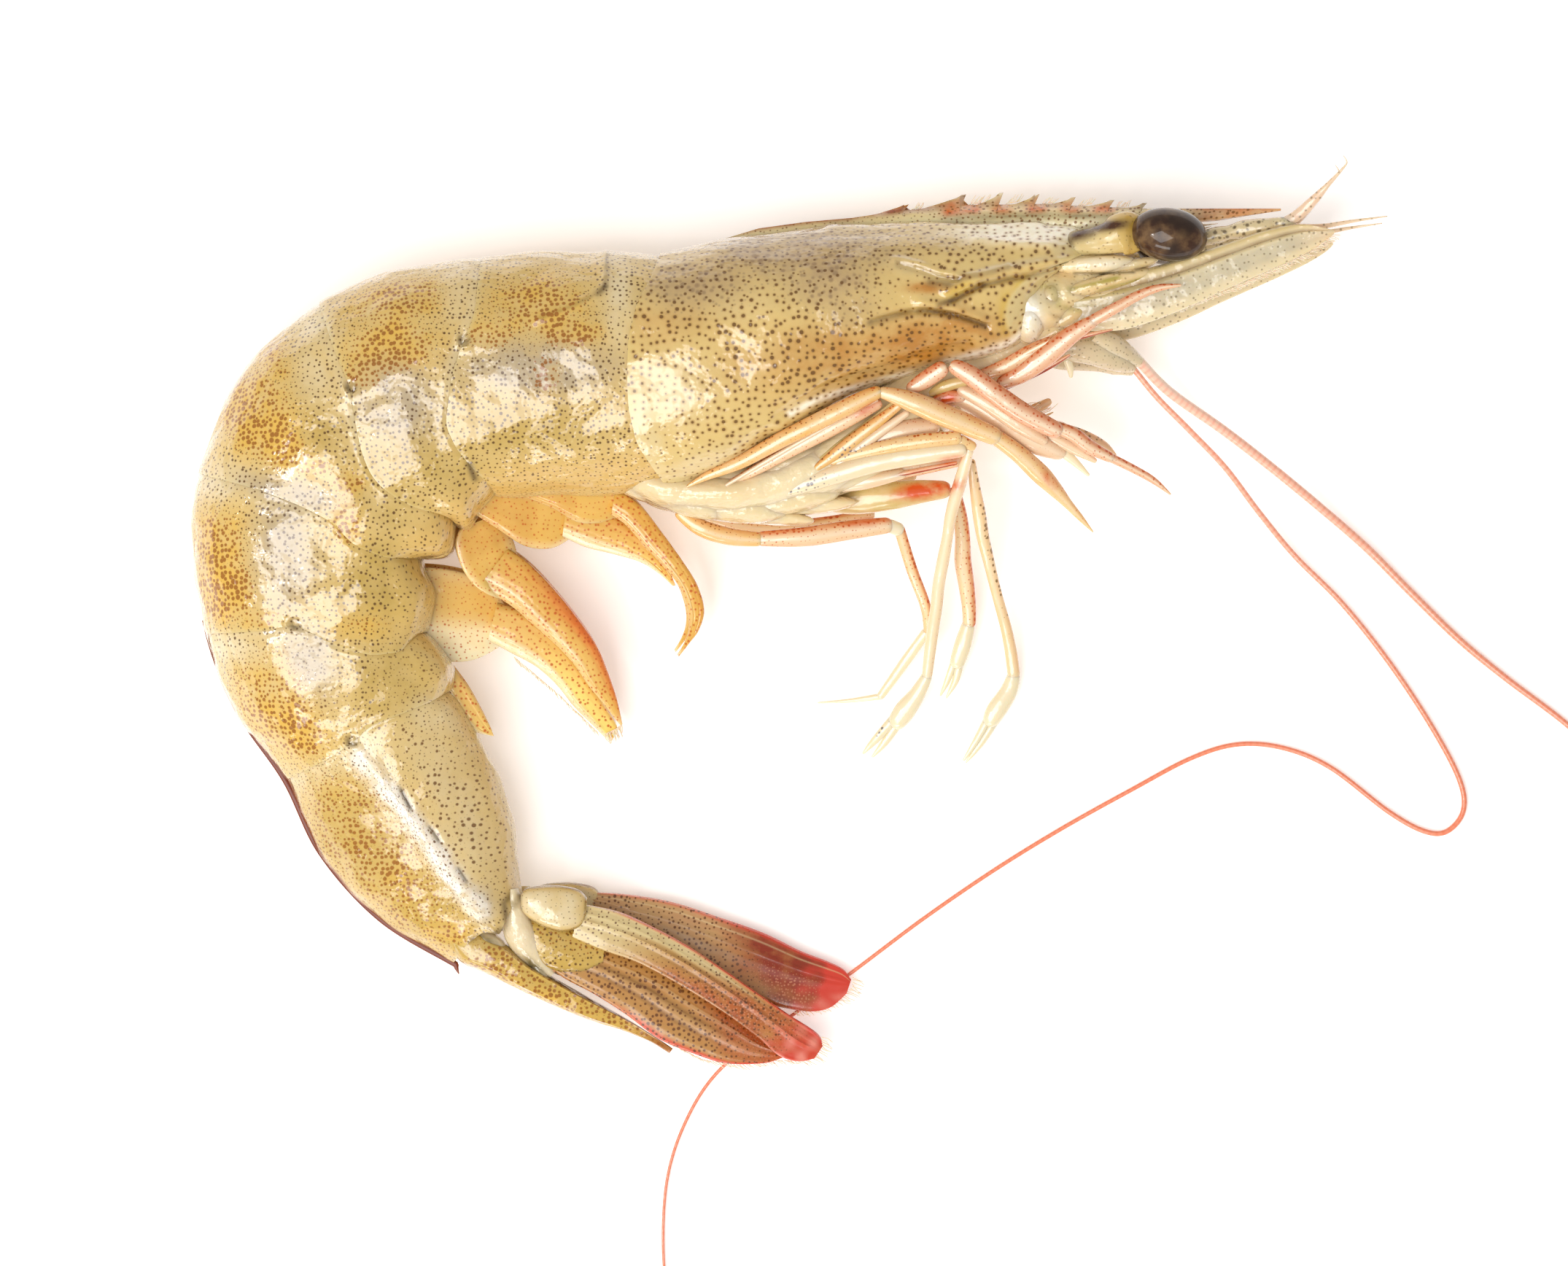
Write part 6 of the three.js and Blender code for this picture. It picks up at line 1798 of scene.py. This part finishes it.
# %% Paint and form of an article
def limb_paint(style):
    """Paint of one article. Its left side, seen from the root, carries the stain."""

    def paint(along, across, x, y):
        outer = ramp(across, 0.2, 0.75)
        places = {
            "yellow": 1.0, "khaki": 1.0, "tip": 1.0, "pink": 0.6 + 0.4 * outer,
            "edge": outer + 0.5 * ramp(-across, 0.7, 0.95),
            # pale: a painted highlight streak along the middle of the article.
            "pale": stripe(across, -0.15, 0.25), "ruby": ramp(-across, 0.1, 0.7),
            "dense": 0.3 + 0.7 * outer,
            "umber": ramp(across, 0.0, 0.5) * ramp(1.0 - along, 0.2, 0.5),
        }
        marks = {mark: strength * places[mark] for mark, strength in STYLES[style].items()}
        marks["inky"] = ovals(x, y, LIMB_INK)
        if style != "claw":
            marks["scarlet"] = ovals(x, y, SCARLET)
        return marks

    return paint


def article(spine, paint, flat=0.72):
    """One stiff tube of a limb: a flattened sweep with rounded ends."""
    t = (1 - np.cos(np.linspace(0, np.pi, 80))) / 2
    rows = row_at(spine, t)
    run = np.concatenate([[0], np.cumsum(np.linalg.norm(np.diff(rows[:, :3], axis=0), axis=1))])
    width = np.maximum(rows[:, 3], 0.04)
    from_end = clamp(np.minimum(run, run[-1] - run) / (0.9 * width))
    width = width * (0.3 + 0.7 * np.sqrt(1 - (1 - from_end) ** 2))
    return swept(np.column_stack([rows[:, :3], width, width * flat]), 80, 28, None, paint, even=False)


print("marks of a claw:", list(limb_paint("claw")(0.5, 0.0, 0.0, 0.0)))

# %% [markdown]
# ## Finish of the limbs
# The legs wear the thinnest chitin, with clear flesh inside, so they are the palest and most see-through
# parts, freckled orange and umber along one edge. Mouth blades, a comb and thin rods belong to no leg,
# and are articles too.

# %% Limbs
LIMB_BASES = {
    "pink_limb": ("#E6BC94", "#EECCAA"), "claw_leg": ("#ECD2A6", "#F2DEBA"),
    "leg": ("#EECD9E", "#F3DAB4"),
}
LIMB_STAINS = [
    ("khaki", "#CDB268", 0.3), ("yellow", "#E8B45C", 0.3), ("pink", "#DE9068", 0.3),
    # The pale stain is a painted highlight streak.
    ("tip", "#EBDDB8", 0.1), ("edge", "#D8742C", 0.3), ("pale", "#F4E0C2", 0.2),
    ("scarlet", "#D4520E", 0.8), ("ruby", "#A03A18", 0.3),
]
LIMB_DOTS = [
    (0.50, 0.17, 0.05, "#C4500C", 0.95, "dense"),
    (0.50, 0.16, 0.05, "#7A5214", 0.85, "umber"),
    (0.50, 0.17, 0.06, "#4E5060", 0.85, "inky"),
]
limb_look = {"gloss": 0.22, "soft_share": 0.25, "depth_mm": 0.7, "dimple": 0.12}
limb_finish = {}
for slot, base in LIMB_BASES.items():
    title = f"clear {slot.replace('_', ' ')} chitin"
    limb_finish[slot] = chitin(title, base, LIMB_STAINS, LIMB_DOTS, **limb_look)
for name, (slot, articles) in LIMBS.items():
    parts = [article(spine, limb_paint(style)) for style, spine in articles]
    piece(name, together(*parts), limb_finish[slot], slot, name)

MOUTH_PARTS = [
    ("khaki", [[22.6, -1.9, 11.6, 0.3], [24, -1.2, 12.2, 0.5], [26, -0.7, 12.4, 0.4]]),
    ("ruby", [[28.6, -1.4, 10.4, 0.3], [31, -0.4, 11, 0.3], [33, 0.6, 11.4, 0.26], [34.6, 1.5, 11.6, 0.1]]),
    ("ruby", [[34, 2.5, 12.6, 0.16], [36, 3.1, 12.8, 0.2], [38.2, 3.6, 12.8, 0.08]]),
    ("stained", [[29, 0.6, 12, 0.2], [32, 2.2, 12.8, 0.3], [36, 4, 13.2, 0.16]]),
    ("brown", [[30.5, -3.4, 7.4, 0.3], [32, -2.9, 7.6, 0.45], [33.1, -2.3, 7.6, 0.3]]),
    ("brown", [[30.8, -4, 7.2, 0.2], [32.2, -3.8, 7.2, 0.16], [33.3, -3.3, 7.2, 0.05]]),
    ("claw", [[34.4, 1.3, 8.6, 0.4], [34.7, 0.4, 8.2, 0.3], [34.8, -0.4, 8, 0.14]]),
    ("rusty", [[22.4, -2.9, 11.6, 0.4], [24.2, -2.1, 12, 0.55], [25.6, -2.2, 12, 0.4]]),
    ("glassy", [[25, -1.4, 12.2, 0.5], [27.4, -2.6, 12.2, 0.7], [30.4, -4.6, 11.8, 0.7],
        [32.6, -6, 11.2, 0.4]]),
    ("golden", [[12.8, -8.3, 12.1, 0.3], [16, -5.9, 12.4, 0.6], [20.2, -2.7, 12.8, 0.35]]),
    ("cream", [[14.6, -8, 12, 0.3], [17.2, -6, 12.4, 0.45], [20.8, -3.4, 12.6, 0.3]]),
    ("glassy", [[16, -7.2, 11.4, 0.5], [19.6, -5.2, 11.8, 0.9], [23.4, -4.6, 11.6, 0.7]]),
    ("cream", [[13.6, -9.9, 9.6, 0.4], [17, -9.3, 10, 0.7], [20.6, -8.6, 10.2, 0.4]]),
    ("ruby", [[17.6, -9.2, 10.2, 0.16], [21, -8.5, 10.4, 0.22], [25, -7.7, 10.4, 0.16]]),
    ("cream", [[5.2, -9.7, 12.6, 0.16], [9.6, -7.1, 13.1, 0.22], [14.2, -4.5, 13.4, 0.22],
        [18.2, -2.4, 13.4, 0.16]]),
]
parts = [article(spine, limb_paint(style)) for style, spine in MOUTH_PARTS]
piece("mouth_limbs", together(*parts), limb_finish["pink_limb"], "pink_limb")

# %% [markdown]
# ## Swimmerets
# Five pairs of paddles hang under the tail, each a fleshy base with a soft blade. Both are leaves,
# because they are thin and broad. The far row is the near one set aside and lower.


# %% Leaves of the five near blades: edge x, y, other edge x, y, height, half thickness
SWIM_BLADES = [
    [
        [-4.2, -9.8, -4.6, -12.2, 8.6, 0.8], [-2.2, -11.2, -3.4, -13, 8.6, 0.75],
        [-0.2, -13.7, -1.6, -15, 8.4, 0.65], [1.6, -16.2, 0.1, -16.8, 8.2, 0.55],
        [2.8, -18.2, 1.3, -18.5, 7.8, 0.48], [3.35, -20.3, 1.95, -20.4, 7.3, 0.42],
        [2.9, -22, 2, -21.9, 6.9, 0.34], [2.1, -23.1, 1.6, -23.1, 6.6, 0.22],
        [1.15, -24.3, 1, -24.1, 6.3, 0.08],
    ],
    [
        [-8.4, -11.2, -8.8, -14, 7.8, 0.8], [-5.2, -11.9, -6.8, -14.9, 7.8, 0.65],
        [-2.6, -13.4, -4.4, -15.5, 7.6, 0.5], [-0.9, -15.1, -2.1, -16.2, 7.4, 0.4],
        [0.2, -16.6, -0.5, -17.2, 7.2, 0.25], [0.9, -18.2, 0.6, -18.2, 7, 0.08],
    ],
    [
        [-13.4, -15, -16, -18.4, 8, 1], [-11.4, -16.5, -13.4, -19.8, 7.9, 0.95],
        [-9.4, -18.6, -11.4, -21.5, 7.6, 0.85], [-7.4, -21.1, -9.5, -23.2, 7.2, 0.75],
        [-5.9, -23.3, -7.9, -24.9, 6.8, 0.62], [-5, -25.4, -6.6, -26.8, 6.3, 0.5],
        [-4.2, -27.8, -5.2, -28.5, 5.8, 0.36], [-3.7, -30.1, -3.9, -30.2, 5.2, 0.1],
    ],
    [
        [-14.4, -19.6, -15.2, -22.9, 6.4, 1], [-11.6, -20.6, -13.4, -23.9, 6.2, 0.9],
        [-9.2, -22.6, -11.2, -25.1, 5.8, 0.8], [-7.6, -24.8, -9.4, -26.7, 5.3, 0.68],
        [-6.2, -27, -7.9, -28.6, 4.8, 0.55], [-5, -28.9, -6.3, -30.2, 4.2, 0.4],
        [-4.2, -30.3, -5.2, -31.3, 3.6, 0.2], [-4.3, -31, -4.7, -31.6, 3.4, 0.08],
    ],
    [
        [-18, -25.4, -18.6, -27.6, 7.2, 0.5], [-16.7, -27.2, -17.9, -29.3, 7, 0.4],
        [-15.5, -29.4, -16.6, -30.6, 6.7, 0.28], [-14.7, -31.1, -14.9, -31.1, 6.4, 0.08],
    ],
]
SWIM_BASES = [
    [
        [-12.4, -9, -12, -10.6, 10, 0.4], [-9.8, -9.4, -9.6, -11.6, 9.5, 0.48],
        [-7, -9.6, -7.4, -12.8, 8.9, 0.48], [-4.6, -10, -5.4, -13, 8.4, 0.4],
        [-3, -10.8, -3.8, -12.2, 8, 0.25],
    ],
    [
        [-17.4, -9.6, -17, -11.6, 10.4, 0.4], [-14.6, -9.8, -14.4, -13.3, 9.7, 0.52],
        [-11.6, -10.2, -12, -14.8, 8.8, 0.56], [-9.4, -10.8, -9.8, -15, 8.1, 0.52],
        [-7.9, -11.6, -8.2, -14.2, 7.6, 0.32], [-7.3, -12.6, -7.4, -13.6, 7.3, 0.25],
    ],
    [
        [-15.2, -12.4, -17.6, -13.4, 9.2, 0.32], [-13.9, -12.9, -17.9, -14.8, 8.9, 0.48],
        [-13, -14.4, -17.2, -17, 8.5, 0.52], [-12.6, -16, -15.8, -18.6, 8.1, 0.48],
        [-12.4, -17.8, -14, -19.4, 7.7, 0.28],
    ],
    [
        [-21, -16.6, -21, -24.2, 7.9, 0.48], [-18.6, -16.8, -18.8, -24.7, 7.4, 0.56],
        [-16.4, -17.4, -16.6, -24.6, 6.8, 0.56], [-14.6, -18.8, -14.8, -23.8, 6.2, 0.48],
        [-13.4, -20.4, -13.6, -22.9, 5.8, 0.25],
    ],
    [
        [-21.6, -22.8, -21.8, -26.4, 6.4, 0.36], [-19.6, -23.8, -19.6, -28, 6.8, 0.36],
        [-18.2, -25.2, -18.2, -28.2, 6.9, 0.25],
    ],
]
DROP = 4.2  # how much lower the far row lies


def far_row(table):
    """The same leaf on the far side: a little aside and lower."""
    return [[a - 0.3, b + 0.4, c - 0.3, d + 0.4, max(z - DROP, h), h] for a, b, c, d, z, h in table]


print("swimmerets a side:", len(SWIM_BLADES))

# %% [markdown]
# ## Paint and finish of the swimmerets
# The blades are amber, ribbed lengthwise, and clear at their inner rim. Swimmerets are thin chitin round
# watery flesh. Light goes deep into them, so they glow like resin, with small orange freckles and a thin
# film.


# %% Swimmerets
# Strength of amber, orange outer edge, yellow and clear inner rim, blade by blade.
BLADE_TINTS = [
    {"amber": 0.65, "orange": 0.12, "yellow": 0.4, "clear": 0.3},
    {"amber": 0.3, "orange": 0.15, "yellow": 0.5, "clear": 1.0},
    {"amber": 0.45, "orange": 0.9, "yellow": 0.3, "clear": 0.3},
    {"amber": 0.0, "orange": 0.08, "yellow": 1.0, "clear": 1.0},
    {"amber": 0.1, "orange": 0.0, "yellow": 0.2, "clear": 0.9},
]


def blade_paint(tint):
    """Paint of a swimmeret blade."""

    def paint(along, across, x, y):
        outer = ramp(across, -0.1, 0.75) * ramp(along, 0.05, 0.4) * ramp(1.05 - along, 0, 0.3)
        bright = stripe(across, -0.30, 0.04) + stripe(across, -0.46, 0.035)
        vein = stripe(across, -0.38, 0.05) * ramp(0.9 - along, 0, 0.3)
        return {
            "amber": tint["amber"] * (0.7 + 0.3 * ramp(across, -0.4, 0.4)),
            "orange": clamp(tint["orange"] * outer + 0.4 * ramp(along, 0.88, 1.0)),
            "yellow": tint["yellow"] * stripe(across, -0.1, 0.9) * ramp(along, 0.1, 0.6),
            "clear": clamp(tint["clear"] * ramp(-across, 0.25, 0.8) + 0.5 * ramp(along, 0.9, 1.0)),
            "line": 0.8 * bright * ramp(0.8 - along, 0, 0.3),
            "vein": 0.5 * vein + 0.3 * ramp(-across, 0.93, 0.99),
            "dense": 0.9 * (1 - 0.7 * tint["clear"] * ramp(-across, 0.2, 0.7)),
        }

    return paint


def base_tint(cream):
    """Paint of a swimmeret base: amber flesh, cream towards its lower edge."""

    def paint(along, across, x, y):
        lower = cream * ramp(-across, -0.1, 0.3)
        return {
            "amber": 0.35 * (1 - lower), "yellow": 0.2,
            "clear": 0.8 * lower + 0.35 * ramp(np.abs(across), 0.5, 0.95),
            "cap": 0.25 * ramp(0.5 - along, 0, 0.1) * (1 - cream),
            "dense": 0.6,
        }

    return paint


swimmeret_finish = chitin(
    "soft swimmeret chitin",
    ("#E2B45C", "#EAC476"),
    [
        ("yellow", "#F8DC78", 0.3), ("amber", "#D69A30", 0.4), ("orange", "#DA6A1A", 0.3),
        ("clear", "#F6E4B8", 0.25), ("cap", "#C07E2E", 0.15), ("vein", "#B87A2C", 0.2),
        ("line", "#F6E2B8", 0.2),
    ],
    [(0.48, 0.12, 0.05, "#C05408", 0.85, "dense")],
    gloss=0.25,
    depth_mm=1.2,
    dimple=0.14,
    film=0.7,
)
swim_ribs = ribs([(-0.38, 0.07, 0.16), (-0.15, 0.05, 0.08), (0.3, 0.06, -0.06), (-0.6, 0.05, 0.06)])
base_ribs = ribs([(0.6, 0.1, 0.03), (0.25, 0.12, 0.04), (-0.2, 0.1, 0.03), (-0.6, 0.1, 0.03)])
for number, (blade, base, tint) in enumerate(zip(SWIM_BLADES, SWIM_BASES, BLADE_TINTS), 1):
    lean = -0.8 if number == 3 else 0.5
    base_look = base_tint(float(number == 4))
    for side in ("right", "left"):
        tables = (blade, base) if side == "right" else (far_row(blade), far_row(base))
        parts = [
            leaf(tables[0], 110, 56, swim_ribs, blade_paint(tint), BLADE_SECTION),
            leaf(tables[1], 60, 56, base_ribs, base_look, BLADE_SECTION, lean=lean),
        ]
        name = f"swimmeret_{number}_{side}"
        piece(name, together(*parts), swimmeret_finish, "swimmeret", name)

# %% [markdown]
# ## Bristles
# Clear hairs fringe the blades, scale, swimmerets and teeth. A real one is about 0.03 mm thick. These are
# three times as thick, so that they show. A light straw colour that lets some light in looks as silky as
# clear chitin does, without tracing glass.


# %% Bristles
def fringe(edge, spacing, way, length, z, seed):
    """Hairs along a line of points: thin four-sided cones that lean with way."""
    draw = np.random.default_rng(seed)
    edge = np.array(edge, float)
    run = np.concatenate([[0], np.cumsum(np.linalg.norm(np.diff(edge, axis=0), axis=1))])
    hairs = []
    for place in np.arange(0, run[-1], spacing):
        root = np.array([np.interp(place, run, edge[:, axis]) for axis in (0, 1)])
        turn = draw.normal(0, 0.14)
        c = np.cos(turn)
        s = np.sin(turn)
        lean = np.array([way[0] * c - way[1] * s, way[0] * s + way[1] * c])
        lean *= length * draw.uniform(0.7, 1.1) / np.hypot(*way)
        bend = np.array([-lean[1], lean[0]]) * draw.normal(0, 0.08)
        height = z + draw.normal(0, 0.06)
        rows = [
            [*root, height, 0.05, 0.05],
            [*(root + lean * 0.5 + bend), height, 0.035, 0.035],
            [*(root + lean), height - 0.1, 0.03, 0.03],
        ]
        hairs.append(swept(rows, 5, 4))
    return hairs


# Fringes: edge, spacing, way the hairs lean, length, height.
FRINGES = [
    ([(12.6, -58.9), (13.5, -58), (13.4, -57)], 0.2, (1, -0.5), 1, 4.1),
    ([(3, -59), (6, -59.5), (9.6, -59.1), (12.4, -59.1)], 0.26, (1, -0.55), 0.8, 3.3),
    ([(-4, -54.7), (0.2, -57.5), (3, -59)], 0.14, (1, -0.7), 0.5, 4),
    ([(15, -54), (16.1, -52.8), (16.1, -51.9)], 0.2, (1, -0.45), 1.1, 1.5),
    ([(11, -55), (13.2, -54.8), (15, -54.1)], 0.26, (1, -0.7), 0.6, 1.6),
    ([(40, 4.5), (48.2, 7.1), (55, 10.2), (57.1, 11.8)], 0.16, (1, -0.25), 0.7, 11.2),
    ([(-5.2, -30.9), (-4.3, -30.5), (-3.8, -30.1)], 0.08, (0.3, -1), 1, 4.2),
    ([(-13, -24.3), (-9.2, -27.5), (-5.8, -30.8)], 0.15, (0.5, -1), 0.5, 5.6),
    ([(21.1, 14), (21.9, 14.1)], 0.14, (0.8, 1), 0.8, 8.3),
    ([(26, 14.4), (27.4, 14.6)], 0.14, (0.8, 1), 0.9, 8.3),
    ([(29.2, 14.5), (30.4, 14.7)], 0.14, (0.8, 1), 0.9, 8.3),
    ([(32.3, 14.4), (33.4, 14.6)], 0.14, (0.8, 1), 0.8, 8.3),
    ([(35.4, 14.3), (36.6, 14.5)], 0.16, (0.9, 1), 0.7, 8.3),
    ([(38.7, 14.2), (39.8, 14.3)], 0.16, (0.9, 1), 0.6, 8.3),
    ([(30, -3.4), (32, -3.6)], 0.16, (1, 0.45), 1.8, 9),
]
bristle, tree = new_material("clear bristle chitin")
fibre = {
    "Base Color": colour("#F4DFC4"), "Roughness": 0.35, "IOR": 1.5, "Subsurface Weight": 0.3,
    "Subsurface Scale": 0.2 * MM,
}
surface = add(tree, "BsdfPrincipled", fibre)
add(tree, "OutputMaterial", links={"Surface": surface.outputs[0]})
hairs = [hair for seed, row in enumerate(FRINGES) for hair in fringe(*row, seed)]
print("bristles:", len(hairs))
piece("bristles", together(*hairs), bristle, "scale")

# %% [markdown]
# ## Count of the pieces
# The pieces made are counted.

# %% Count the pieces
print("pieces:", piece_count)
